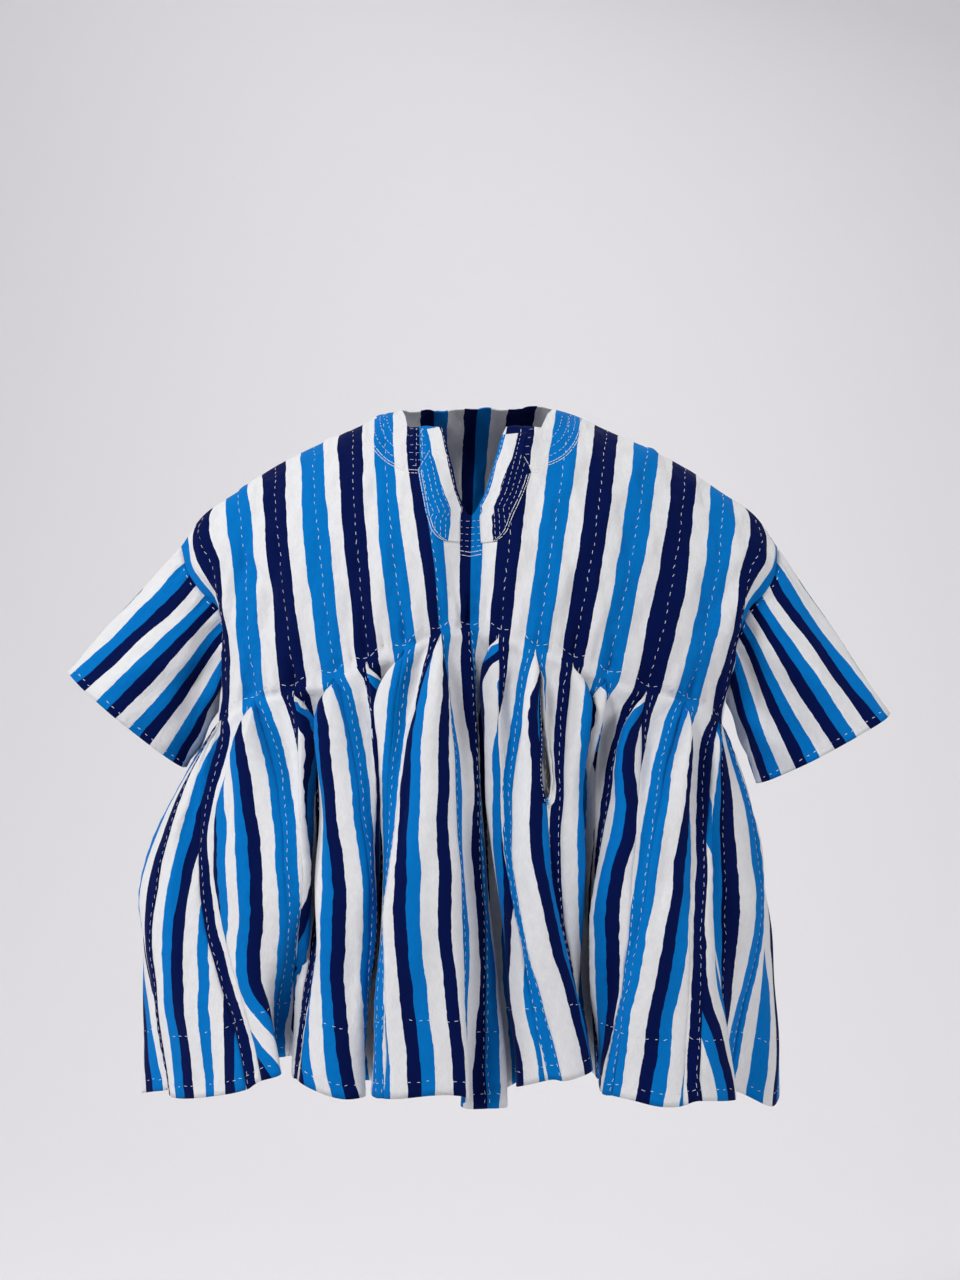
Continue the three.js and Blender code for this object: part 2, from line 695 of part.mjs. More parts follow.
// A pocket bag: a leaf of cloth just behind its slit, reaching past it on each side.
function buildPocket(name, seam) {
  const at = frontPieces.findIndex((piece) => piece.kind === 'gore' && piece.seam === seam);
  const gore = frontPieces[at];
  const slit = seam > 0 ? gore.columns[gore.columns.length - 1] : gore.columns[0];
  const beside = loop[loop.indexOf(slit) + 1];
  const before = loop[loop.indexOf(slit) - 1];
  const heights = SKIRT_ROWS.map((height, r) => [height, r])
    .filter(([height]) => height >= POCKET.top && height <= POCKET.bottom)
    .map(([, r]) => r);
  const columns = [before, slit, beside].map((column) => heights.map((r) => {
    const away = column.points[r].clone().sub(slit.points[r]);
    const share = Math.min(1, POCKET.reach / Math.max(away.length(), 1));
    const depth = CLOTH_WALL + (column === slit ? POCKET.behind : 1.3 * SEAM_GAP);
    const normal = slit.normals[r].clone().lerp(column.normals[r], share);
    return slit.points[r].clone().addScaledVector(away, share).addScaledVector(normal, -depth);
  }));
  const normals = columns.map(() => heights.map((r) => slit.normals[r].clone()));
  const triangles = [];
  const rowCount = heights.length;
  for (let c = 0; c < columns.length - 1; c += 1) {
    for (let r = 0; r < rowCount - 1; r += 1) {
      const corner = c * rowCount + r;
      triangles.push(...cell(corner, corner + rowCount, corner + 1, corner + rowCount + 1));
    }
  }
  const geometry = thicken(columns.flat(), normals.flat(), triangles, POCKET_WALL);
  return makeMesh(name, geometry, COLOURS.white);
}

// ---------------------------------------------------------------- the smock

const smock = new THREE.Group();
smock.add(buildPanel('body_front', panels.front, frontPieces));
smock.add(buildPanel('body_back', panels.back, backPieces));

[['front', frontPieces], ['back', backPieces]].forEach(([faceName, pieces]) => {
  pieces.filter((piece) => piece.kind === 'gore').forEach((piece, i) => {
    const number = String(i + 1).padStart(2, '0');
    const colour = i % 2 ? COLOURS.navy : COLOURS.sky;
    smock.add(buildGore(`gore_${faceName}_${number}`, piece, colour));
  });
});
smock.add(buildGore('gore_side_left', leftGore, COLOURS.navy));
smock.add(buildGore('gore_side_right', rightGore, COLOURS.navy));
smock.add(buildPocket('pocket_left', POCKET.seams[0]));
smock.add(buildPocket('pocket_right', POCKET.seams[1]));
smock.add(buildSleeve('sleeve_left', -1));
smock.add(buildSleeve('sleeve_right', 1));

export default smock;
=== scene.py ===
# %% [markdown]
# # A fugu smock
# A fugu is sewn from narrow hand-woven strips, joined edge to edge. The upper part is a
# nearly flat panel. Below the chest the seams are left open and a long pointed gore is let
# into each one, so the skirt swings out in deep folds. The packed solids are loaded first,
# because every piece of cloth below is laid where they are.

# %% Load the frame
import bmesh
import bpy
import numpy as np
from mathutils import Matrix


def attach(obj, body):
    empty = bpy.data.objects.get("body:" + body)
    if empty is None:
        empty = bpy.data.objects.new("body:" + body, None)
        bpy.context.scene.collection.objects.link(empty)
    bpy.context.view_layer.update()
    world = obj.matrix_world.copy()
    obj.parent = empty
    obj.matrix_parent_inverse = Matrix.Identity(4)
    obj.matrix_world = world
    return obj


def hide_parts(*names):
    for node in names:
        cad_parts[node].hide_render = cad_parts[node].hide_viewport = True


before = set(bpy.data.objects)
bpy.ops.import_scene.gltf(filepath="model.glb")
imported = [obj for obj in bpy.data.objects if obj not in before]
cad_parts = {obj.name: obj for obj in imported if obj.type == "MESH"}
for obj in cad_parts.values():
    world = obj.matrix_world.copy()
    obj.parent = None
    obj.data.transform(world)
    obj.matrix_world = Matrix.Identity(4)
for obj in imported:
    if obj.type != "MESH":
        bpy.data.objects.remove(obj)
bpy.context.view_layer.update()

# %% [markdown]
# ## Measures
# All lengths are in millimetres until a mesh is written. Each table has a row for each strip
# seam or fold. The strips are 45 mm wide and are joined at seams numbered from 0 in the middle
# to 8 at the armhole, with minus on the viewer's left.

# %% Tables of the cut
MM = 0.001
STRIP = 45.0
SEAM_GAP = 0.3
PANEL_LENGTH, SKIRT_LENGTH = 330, 470  # shoulder to gather line, and from there to the hem
FACES = {"front": -1, "back": 1}  # which way each panel bulges
SIDES = {"left": -1, "right": 1}  # of the viewer
SHOULDER_SEAM = np.array([  # out, forward, up of seams 0 to 6
    (0, 0, 6), (47, 0, 4), (95, 0, -6), (133, 0, -23), (174, 0, -41), (215, 0, -62),
    (254, 0, -88)], float)
GATHER_LINE = np.array([  # the same at the gather line
    (0, 104, -221), (29, 120, -225), (66, 121, -241), (104, 117, -255), (138, 108, -272),
    (180, 95, -287), (222, 76, -299)], float)
ARM_FOLD_LINE = [(289, 0, -112), (293, 15, -128), (290, 31, -146), (278, 46, -168),
                 (270, 50, -205), (264, 50, -262), (259, 46, -323)]
ARMHOLE_LINE = [(313, 0, -145), (307, 18, -171), (293, 28, -192), (278, 27, -207),
                (267, 25, -236), (262, 21, -271), (262, 0, -300), (264, 0, -330)]
NECK_EDGE = {  # strip line, share of the panel's length where it starts
    "front": [(0, 0.58), (0.08, 0.57), (0.18, 0.545), (0.36, 0.484), (0.47, 0.41), (0.59, 0.325),
              (0.7, 0.21), (1.5, 0.19), (1.65, 0), (8, 0)],
    "back": [(0, 0.1), (0.7, 0.1), (1.5, 0.06), (1.65, 0), (8, 0)]}
NECK_SHIFT = 0.04  # the neck sits this much of a strip to the viewer's left
HEM_FRONT = [  # across, forward, up
    (-350, 16, -727), (-357, -22, -727), (-337, -52, -716), (-303, -58, -706), (-320, -104, -706),
    (-278, -152, -696), (-224, -188, -672), (-196, -192, -661), (-206, -112, -664),
    (-190, -110, -664), (-180, -184, -671), (-134, -197, -683), (-112, -190, -683),
    (-122, -138, -682), (-108, -134, -682), (-100, -206, -680), (-50, -217, -676),
    (-12, -211, -679), (-17, -182, -693), (-5, -163, -704), (30, -160, -704), (25, -130, -692),
    (40, -129, -684), (38, -190, -673), (75, -201, -665), (108, -190, -660), (100, -84, -684),
    (114, -82, -686), (127, -187, -681), (170, -206, -688), (211, -201, -687), (257, -168, -692),
    (246, -122, -702), (250, -76, -708), (272, -60, -716), (311, -42, -733), (326, 8, -729)]
HEM_PINS = {0: -8, 6: -6.5, 11: -4, 15: -1.5, 20: 0.5, 24: 1.5, 28: 5.5, 30: 6.5, 36: 8}
HEM_BACK = [
    (306, 52, -722), (262, 70, -712), (272, 122, -708), (222, 172, -700), (196, 150, -698),
    (190, 98, -694), (172, 104, -694), (160, 178, -694), (118, 196, -690), (88, 182, -688),
    (86, 100, -688), (66, 98, -688), (56, 180, -688), (8, 202, -687), (-34, 186, -688),
    (-40, 106, -689), (-60, 104, -689), (-72, 184, -690), (-120, 200, -692), (-156, 180, -694),
    (-160, 96, -696), (-180, 92, -698), (-196, 164, -700), (-240, 170, -706), (-288, 132, -712),
    (-280, 78, -718), (-322, 62, -722)]
MIDDLE_FRONT = [  # across, forward
    (-344, 26), (-353, -16), (-350, -54), (-334, -84), (-306, -98), (-278, -114), (-232, -150),
    (-184, -165), (-172, -156), (-174, -120), (-158, -118), (-156, -156), (-130, -172),
    (-103, -168), (-105, -126), (-92, -124), (-94, -176), (-58, -190), (-24, -182), (-9, -160),
    (8, -136), (10, -102), (22, -102), (17, -150), (28, -170), (52, -180), (76, -176), (99, -160),
    (96, -118), (112, -116), (118, -160), (160, -180), (192, -175), (218, -158), (233, -146),
    (231, -122), (248, -110), (278, -92), (300, -46), (306, 6)]
MIDDLE_PINS = {0: -8, 5: -6.5, 7: -5.5, 13: -3.5, 16: -1.5, 19: -0.5, 24: 1.5, 26: 2.5, 31: 5.5,
               33: 6.5, 39: 8}  # row of the table: the piece whose middle lies there
MIDDLE_HEIGHT = 0.47
GORE_WIDTHS = {  # seam: hem width on the front, on the back
    -7: (100, 62), -6: (90, 54), -5: (60, 66), -4: (90, 52), -3: (48, 70), -2: (46, 56),
    -1: (98, 72), 1: (100, 60), 2: (84, 74), 3: (48, 54), 4: (48, 68), 5: (56, 52),
    6: (78, 64), 7: (88, 58)}
LATE_GORES = (-7, 7)  # these two open late on the front
SIDE_GORE_WIDTH = 190.0
TAIL_WIDTH, WHOLE_TAIL_WIDTH = 15.0, 43.0
WHOLE_TAILS = (-7, 0, 1, 8)  # the high line of each tail that keeps its whole width
TOP_FLARE, HEM_HANG = 1.9, 0.8
print("gores:", 2 * len(GORE_WIDTHS), "and two at the sides")

# %% [markdown]
# ## Smooth lines
# A smooth line through a few known points can be a Bezier curve with handles, or a spline that
# finds its own slopes. The second needs no handles, so the tables stay short. The slopes are
# weighted by the square root of the spacing, which stops the line from looping at close points.

# %% Smooth lines
def unit(vectors):
    """The same directions, each one long."""
    return vectors / np.maximum(np.linalg.norm(vectors, axis=-1, keepdims=True), 1e-9)


def lengths(points, axis=0):
    """Length of the thread from the first point up to each one: across a grid or along a line
    with axis 0, down a grid with axis 1."""
    steps = np.linalg.norm(np.diff(points, axis=axis), axis=-1)
    return np.insert(np.cumsum(steps, axis=axis), 0, 0, axis=axis)


def between(before, start, end, after, share):
    """Point at share (0 to 1) from start to end: a cubic whose two end slopes come from the
    neighbouring points, each weighted by the square root of its distance."""
    def root(a, b):
        return np.sqrt(np.maximum(np.linalg.norm(b - a, axis=-1, keepdims=True), 1e-6))
    d0, d1, d2 = root(before, start), root(start, end), root(end, after)
    first = ((start - before) / d0 - (end - before) / (d0 + d1) + (end - start) / d1) * d1
    last = ((end - start) / d1 - (after - start) / (d1 + d2) + (after - end) / d2) * d1
    w = np.asarray(share, float)[..., None]
    return (start + first * w + (3 * (end - start) - 2 * first - last) * w ** 2
            + (2 * (start - end) + first + last) * w ** 3)


def dense_line(points, closed=False, count=6000):
    """Many points on the smooth line through the given ones, and the length up to each."""
    p = np.asarray(points, float)
    if closed:
        four = [np.roll(p, k, axis=0) for k in (1, 0, -1, -2)]
    else:
        q = np.vstack([2 * p[0] - p[1], p, 2 * p[-1] - p[-2]])
        four = [q[:-3], q[1:-2], q[2:-1], q[3:]]
    t = np.linspace(0, len(four[0]), count + 1)
    i = np.minimum(t.astype(int), len(four[0]) - 1)
    line = between(*[f[i] for f in four], t - i)
    return line, lengths(line)


def along(line, reach, where):
    """Points of a line at the given lengths from its start. reach is the length to each."""
    return np.stack([np.interp(where, reach, values) for values in line.T], axis=-1)


print("armhole line:", round(float(dense_line(ARMHOLE_LINE)[1][-1])), "mm from the shoulder")

# %% [markdown]
# ## The panels
# Each strip seam falls from the shoulder over the chest like a quarter of an ellipse, and ends
# on the arched line where the gores start. The two outermost lines follow the armhole instead.
# A panel is then one surface of two numbers: the strip line across, and the share of the way
# down. It could be modelled by hand on a body, but a formula keeps every strip the same width.

# %% Panel surface
SHARES = 400
SEAM_DRIFT = 9  # mm that the seams drift to the viewer's left on the way down
ARM_DRIFT = 11  # mm that the armholes lie to the viewer's right of that, halfway down


def seam_lines():
    """Points of seams 0 to 8 at even shares of their length. Seams 0 to 6 are quarter ellipses:
    forward times sin(angle) and a fall of (1 - cos(angle)), with even steps of arc length."""
    share = np.linspace(0, 1, SHARES + 1)
    rows = []
    for top, end in zip(SHOULDER_SEAM, GATHER_LINE):
        drop = top[2] - end[2]
        middle = (np.arange(64) + 0.5) / 64 * np.pi / 2
        speed = np.hypot(end[1] * np.cos(middle), drop * np.sin(middle))
        length = np.concatenate([[0], np.cumsum(speed)])
        angle = np.interp(share * length[-1], length, np.linspace(0, np.pi / 2, 65))
        out = top[0] + (end[0] - top[0]) * share ** 1.4
        rows.append(np.stack([out, end[1] * np.sin(angle),
                              top[2] - drop * (1 - np.cos(angle))], axis=-1))
    for table in (ARM_FOLD_LINE, ARMHOLE_LINE):
        line, length = dense_line(table)
        rows.append(along(line, length, share * length[-1]))
    return np.array(rows)


SEAM_LINES = seam_lines()


def seam_point(face, seam, share):
    """Point of a strip seam, between the two nearest of its known points, plus half the gap of
    the side seams and the drift. face is -1 on the front and 1 on the back."""
    half, side = np.abs(seam), np.where(seam < 0, -1, 1)
    at = np.clip(share, 0, 1) * SHARES
    low = np.minimum(at.astype(int), SHARES - 1)
    p = (SEAM_LINES[half, low] * (1 - (at - low))[..., None]
         + SEAM_LINES[half, low + 1] * (at - low)[..., None])
    drift = (-SEAM_DRIFT * np.sin(np.pi / 2 * share)
             + ARM_DRIFT * (half / 8) ** 2 * np.sin(np.pi * share))
    return np.stack([side * p[..., 0] + drift, face * (p[..., 1] + SEAM_GAP / 2), p[..., 2]], -1)


def panel_point(face, line, share):
    """Point of a panel on any line between the seams, by the smooth line through them all."""
    line, share = np.broadcast_arrays(np.asarray(line, float), np.asarray(share, float))
    at = np.clip(line + 8, 0, 16)
    i = np.minimum(at.astype(int), 15)
    before, start, end, after = [seam_point(face, np.clip(i - 8 + k, -8, 8), share)
                                 for k in (-1, 0, 1, 2)]
    before = np.where((i == 0)[..., None], 2 * start - end, before)
    after = np.where((i == 15)[..., None], 2 * end - start, after)
    return between(before, start, end, after, at - i)


def neck_start(face_name, line):
    """Share of a panel's length at which it starts, which cuts out the neck."""
    return np.interp(np.abs(line + NECK_SHIFT), *np.array(NECK_EDGE[face_name]).T)


print("middle of the gather line:", panel_point(-1, 0.0, 1.0).round(1))

# %% [markdown]
# ## The skirt
# Seen from above, the hem is one long closed line that winds in and out of the folds. A second
# such line lies halfway down. The tails of the strips and the gores are laid along both lines
# by the widths that they were cut to, in the order that they are sewn. Between the gather
# line, the middle and the hem each thread runs on a smooth cubic, so a fold is born at the
# gathers and opens towards the hem, as it does in heavy cotton.

# %% Pieces round the skirt
def skirt_piece(kind, face, first, last, width):
    """A tail or gore between two strip lines. line is where its middle lies."""
    return {"kind": kind, "face": face, "from": first, "to": last, "line": (first + last) / 2,
            "width": float(width)}


def skirt_pieces(face):
    """Tails and gores of one face in sewing order, from its first side seam to its last."""
    order = -FACES[face]
    pieces = []
    for start in range(-8, 8):
        first, last = order * start, order * (start + 1)
        whole = max(first, last) in WHOLE_TAILS
        pieces.append(skirt_piece("tail", face, first, last,
                                  WHOLE_TAIL_WIDTH if whole else TAIL_WIDTH))
        if last in GORE_WIDTHS:
            pieces.append(skirt_piece("gore", face, last, last,
                                      GORE_WIDTHS[last][face == "back"]))
    return pieces


PIECES = (skirt_pieces("front") + [skirt_piece("gore", "side", 8, 8, SIDE_GORE_WIDTH)]
          + skirt_pieces("back") + [skirt_piece("gore", "side", -8, -8, SIDE_GORE_WIDTH)])


def middle_share(piece):
    """Share of its hem width that a piece has halfway down."""
    if piece["kind"] == "tail":
        return 1.0
    if piece["face"] == "front" and piece["line"] in LATE_GORES:
        return 0.4
    return 0.5 if piece["face"] == "side" else 0.85


def section(rows, pins, share_of):
    """A closed section of the skirt: gives the points of a piece at shares of its width. A pin
    lays the middle of a piece at a row, and the cloth is even between two pins."""
    line, reach = dense_line(rows, closed=True, count=100 * len(rows))
    widths = np.array([p["width"] * share_of(p) for p in PIECES])
    starts = widths[-1] / 2 + np.concatenate([[0], np.cumsum(widths)])
    names = [p["line"] for p in PIECES]
    flats = [0.0] + [starts[k] + widths[k] / 2 for k in map(names.index, list(pins.values())[1:])]
    flats, lies = flats + [widths.sum()], [reach[100 * row] for row in pins] + [reach[-1]]

    def point(at, share):
        flat = (starts[at] + share * widths[at]) % widths.sum()
        return along(line, reach, np.interp(flat, flats, lies))
    return point


hem_at = section(HEM_FRONT + HEM_BACK, HEM_PINS, lambda piece: 1.0)
middle_at = section([(x, y, 0) for x, y in MIDDLE_FRONT]
                    + [(x * 0.94, y * 0.86, 0) for x, y, _ in HEM_BACK], MIDDLE_PINS, middle_share)
print("pieces round the hem:", len(PIECES),
      "flat width", round(sum(p["width"] for p in PIECES)), "mm")

# %% Skirt surface
ROWS = np.linspace(0, 1, 76) ** 1.2
PER_STRIP = 13  # columns of a strip
GORE_STEP = 3.6  # mm between the columns of a gore


def hermite(start, end, start_slope, end_slope, share):
    """Cubic from start to end with the given slopes for the whole step."""
    s = share[..., None]
    return (start * (2 * s ** 3 - 3 * s ** 2 + 1) + start_slope * (s ** 3 - 2 * s ** 2 + s)
            + end * (3 * s ** 2 - 2 * s ** 3) + end_slope * (s ** 3 - s ** 2))


def hang(gather, middle, hem):
    """Threads from the gather line through the middle to the hem, one row for each of ROWS.
    They leave the gathers 1.9 times as steeply as the straight line, and hang a little in at
    the hem. The height falls evenly."""
    g, m, e = gather[:, None], middle[:, None], hem[:, None]
    step = MIDDLE_HEIGHT
    upper = hermite(g, m, (m - g) * TOP_FLARE, (e - g) * step, ROWS / step)
    lower = hermite(m, e, (e - g) * (1 - step), (e - m) * HEM_HANG, (ROWS - step) / (1 - step))
    points = np.where((ROWS <= step)[:, None], upper, lower)
    points[..., 2] = g[..., 2] + (e - g)[..., 2] * ROWS
    return points


def skirt_columns():
    """All the columns of the skirt in order, and for each piece its first and last column."""
    blocks, spans, start = [], [], 0
    for at, piece in enumerate(PIECES):
        count = PER_STRIP if piece["kind"] == "tail" else int(round(piece["width"] / GORE_STEP))
        share = np.linspace(0, 1, count + 1)
        line = piece["from"] + (piece["to"] - piece["from"]) * share
        gather = panel_point(FACES.get(piece["face"], -1), line, 1.0)
        if piece["face"] == "side":
            gather[:, 1] = 0
        block = hang(gather, middle_at(at, share), hem_at(at, share))
        blocks.append(block[:-1])
        spans.append((start, start + count))
        start += count
    return np.concatenate(blocks), spans


SKIRT, SPANS = skirt_columns()
print("skirt grid:", SKIRT.shape[:2])

# %% [markdown]
# ## Creases
# Smooth cloth looks like plastic. Real creases come from three things: thread that draws a
# seam in, gathers that push the cloth out between two tails, and the soft dents of wear and
# packing. Sculpting them by hand would be slow, so each crease is a row of a table: a trough
# (minus) or a ridge (plus) with its own place, length, width and depth. A sum of a few slow
# waves adds the faint unevenness that no table would hold.

# %% Creases
def bump(value, start, end):
    """Rises from 0 at start to 1 in the middle and falls to 0 at end: the square of the sine of
    half a turn."""
    share = np.clip((value - start) / (end - start), 0, 1)
    return np.sin(np.pi * share) ** 2


def ramp(value, start, end):
    """Smooth step from 0 at start to 1 at end: three squares less two cubes of the share."""
    share = np.clip((value - start) / (end - start), 0, 1)
    return share * share * (3 - 2 * share)


def bell(distance, width):
    """1 in the middle, falling off on both sides like a bell: e to the power of minus the
    square of distance over width."""
    return np.exp(-(distance / width) ** 2)


def waves(across, down, rows, seed):
    """Sum of sine waves. rows are (height, waves across, waves down) for each of them, and
    each gets its own starting angle from the seed."""
    turns = np.random.default_rng(seed).uniform(0, 2 * np.pi, len(rows))
    return sum(height * np.sin(2 * np.pi * (across * a + down * d) + turn)
               for (height, a, d), turn in zip(rows, turns))


def round_step(points):
    """Step from the column before to the column after, on a closed grid."""
    return np.roll(points, -1, axis=0) - np.roll(points, 1, axis=0)


def come_round(values):
    """A closed grid with its first column once more at the end."""
    return np.concatenate([values, values[:1]])


def grid_normals(points, closed=False):
    """Outward unit normals of a grid [column, row]: the way down crossed with the way across."""
    across = round_step(points) if closed else np.gradient(points, axis=0)
    return unit(np.cross(np.gradient(points, axis=1), across))


def seam_groove(distance, down, depth, width):
    """A seam draws the cloth in, a little more at each stitch, and puckers it on both sides: a
    bell in depth, times a wave about 21 mm long, and the same wave 7 mm from the seam."""
    pucker = np.sin(2 * np.pi * down / 21 + 1.7 * np.sin(down / 55))
    groove = -depth * bell(distance, width) * (1 + 0.25 * pucker)
    return groove + 0.32 * depth * pucker * bell(np.abs(distance) - 7, 6)


print("a groove 2 mm deep, every 2 mm from its seam:",
      seam_groove(np.arange(0, 9, 2), 0, 2.0, 2.6).round(2))

# %% Creases of the panels
CREASE_DEPTH = 1.5  # deepens every row of both tables
SEAM_GROOVE = 1.1, 2.6  # depth and width in mm of the groove along a strip seam
GATHER_DRAG, GATHER_PUCKER = 4.5, 1.5  # mm, above the gather line
# Each row: strip line and share of the way down at one end and at the other; width, depth in mm.
PANEL_CREASES = {
    "front": [
        (-7.4, 0.1, -5.2, 0.62, 13, -3.0), (-7.0, 0.3, -5.9, 0.85, 11, 2.4),
        (-6.4, 0.02, -5.4, 0.4, 14, -2.2), (-5.6, 0.35, -5.3, 0.98, 12, -2.4),
        (-4.5, 0.1, -4.7, 0.7, 16, 2.0), (-3.6, 0.45, -3.4, 0.99, 11, -2.6),
        (-3.1, 0.05, -2.6, 0.5, 15, -1.6), (-2.3, 0.4, -2.5, 0.98, 12, 2.2),
        (-1.5, 0.6, -1.3, 0.99, 10, -2.4), (-0.6, 0.62, -0.3, 0.97, 9, -2.0),
        (0.4, 0.6, 0.6, 0.98, 11, 2.0), (1.6, 0.35, 1.4, 0.98, 11, -2.2),
        (2.4, 0.12, 2.7, 0.62, 15, -1.8), (2.9, 0.55, 2.6, 0.99, 10, -2.6),
        (3.6, 0.3, 3.5, 0.97, 13, 2.2), (4.3, 0.05, 4.6, 0.55, 16, -1.8),
        (4.9, 0.5, 4.5, 0.99, 10, -2.2), (5.6, 0.2, 5.3, 0.86, 13, 2.2),
        (6.6, 0.02, 5.7, 0.46, 14, -2.4), (7.3, 0.14, 5.9, 0.7, 12, -2.8),
        (6.9, 0.4, 6.2, 0.9, 10, 2.4)],
    "back": [
        (-7.2, 0.12, -5.4, 0.66, 13, -2.8), (-6.5, 0.05, -5.6, 0.5, 14, 2.2),
        (-5.3, 0.3, -5.4, 0.98, 12, -2.4), (-4.4, 0.08, -4.1, 0.62, 16, -1.8),
        (-3.5, 0.4, -3.3, 0.98, 12, 2.2), (-2.4, 0.5, -2.6, 0.99, 11, -2.4),
        (-1.4, 0.2, -1.1, 0.7, 17, -1.6), (-0.5, 0.45, -0.4, 0.98, 12, 2.2),
        (0.6, 0.55, 0.5, 0.99, 11, -2.4), (1.7, 0.18, 1.4, 0.74, 16, -1.8),
        (2.5, 0.48, 2.6, 0.98, 12, 2.0), (3.5, 0.4, 3.3, 0.99, 11, -2.4),
        (4.6, 0.1, 4.3, 0.66, 15, -2.0), (5.5, 0.42, 5.4, 0.96, 12, 2.2),
        (7.1, 0.16, 5.5, 0.7, 13, -2.8)]}
PANEL_WAVES = [(1.4, 0.9, 0.7), (1.2, 1.7, -1.1), (1.0, 2.6, 1.9), (0.75, 3.7, -2.8),
               (0.55, 5.3, 4.1), (0.35, 7.1, -6.3)]


def panel_relief(face_name, line, share):
    """How far a panel stands proud at a strip line and share, in mm. It is nothing at the
    shoulder, at the gather line and at the armholes, where other pieces join it."""
    height = waves(line / 3.2, share, PANEL_WAVES, 3 if face_name == "front" else 4)
    for from_line, start, to_line, end, width, depth in PANEL_CREASES[face_name]:
        place = from_line + (to_line - from_line) * (share - start) / (end - start)
        crease = bump(share, start, end) * bell((line - place) * STRIP, width)
        height = height + CREASE_DEPTH * depth * crease
    # Gathers drag the seams in for a hand's breadth above the tips of the gores.
    seam = (line - np.round(line)) * STRIP
    height = height - GATHER_DRAG * ramp(share, 0.78, 1) * bell(seam, 8)
    pucker = np.sin(line * 2 * np.pi * 2.9 + 2 * np.sin(line * 2.3))
    height = height + GATHER_PUCKER * pucker * ramp(share, 0.80, 0.97)
    down = share * PANEL_LENGTH + 40 * np.round(line)
    height = height + seam_groove(seam, down, *SEAM_GROOVE)
    edge = ramp(share, 0, 0.06) * (1 - ramp(share, 0.97, 1)) * (1 - ramp(np.abs(line), 7.6, 8))
    return height * edge


print("creases in the panels:", sum(map(len, PANEL_CREASES.values())))

# %% Creases of the skirt
# Each row: piece; share across it and way down at the top, then at the bottom; width, depth in mm.
SKIRT_CREASES = {
    "front": [
        (-7, 0.3, 0.1, 0.5, 0.95, 12, 3.0), (-6, 0.35, 0.02, 0.25, 0.55, 9, -4.0),
        (-6, 0.75, 0.04, 0.6, 0.9, 12, -3.5), (-5, 0.3, 0.02, 0.4, 0.5, 7, -5.0),
        (-5, 0.8, 0.04, 0.7, 0.75, 8, 4.0), (-4, 0.3, 0.02, 0.45, 0.62, 8, -5.0),
        (-4, 0.7, 0.1, 0.65, 1.1, 13, -4.0), (-3, 0.4, 0.02, 0.5, 0.44, 7, -4.5),
        (-2, 0.5, 0.03, 0.4, 0.5, 7, 4.0), (-1, 0.2, 0.03, 0.12, 0.6, 8, -3.6),
        (-1, 0.6, 0.2, 0.5, 1.15, 14, -3.0), (1, 0.4, 0.02, 0.5, 0.5, 8, -5.0),
        (2, 0.3, 0.03, 0.25, 0.7, 9, -3.5), (2, 0.7, 0.3, 0.6, 1.1, 13, 3.6),
        (3, 0.5, 0.02, 0.4, 0.42, 7, -4.5), (4, 0.4, 0.02, 0.5, 0.5, 7, -4.5),
        (5, 0.3, 0.02, 0.2, 0.6, 8, -4.0), (5, 0.8, 0.3, 0.7, 1.1, 12, -3.6),
        (6, 0.35, 0.03, 0.3, 0.7, 9, -4.0), (6, 0.75, 0.25, 0.7, 1.05, 14, -3.0),
        (7, 0.5, 0.05, 0.5, 0.55, 9, -3.4)],
    "side": [
        (8, 0.3, 0.08, 0.25, 0.9, 18, -4.5), (8, 0.7, 0.15, 0.75, 1.1, 16, 4.0),
        (-8, 0.3, 0.1, 0.25, 1.05, 16, 4.0), (-8, 0.75, 0.06, 0.8, 0.9, 18, -4.5)],
    "back": [
        (6, 0.4, 0.02, 0.5, 0.7, 9, -4.0), (5, 0.6, 0.05, 0.5, 1.1, 12, -3.6),
        (4, 0.4, 0.02, 0.3, 0.55, 8, -4.6), (3, 0.5, 0.02, 0.6, 0.85, 10, 3.8),
        (2, 0.5, 0.02, 0.5, 0.5, 8, -4.6), (1, 0.4, 0.1, 0.5, 1.1, 13, -3.6),
        (-1, 0.5, 0.02, 0.4, 0.6, 8, -4.6), (-2, 0.5, 0.04, 0.6, 1.0, 12, 3.6),
        (-3, 0.4, 0.02, 0.5, 0.5, 8, -4.6), (-4, 0.6, 0.1, 0.5, 1.1, 12, -3.6),
        (-5, 0.5, 0.02, 0.4, 0.7, 9, -4.2), (-6, 0.5, 0.05, 0.6, 0.95, 11, 3.6)]}
SKIRT_WAVES = [(1.8, 9, 0.6), (1.5, 14, -1.1), (1.3, 23, 1.7), (0.9, 37, -2.6), (0.5, 58, 4.3)]
GATHER_WAVES = [(1.3, 67, 1.1), (1.1, 89, -1.7), (0.9, 113, 2.3)]
GORE_SWELL, TAIL_SINK = 17.0, -10.5  # mm, between two seams
ARM_CALM = 0.3  # share of these that is left under the arms
GORE_GROOVE = 1.2, 2.8  # depth and width in mm of the groove along a seam of the skirt


def place_of(face, line, share):
    """Column of the skirt, as a real number, at a share of the way across a piece."""
    at = next(k for k, p in enumerate(PIECES) if p["face"] == face and p["line"] == line)
    first, last = SPANS[at]
    return first + share * (last - first)


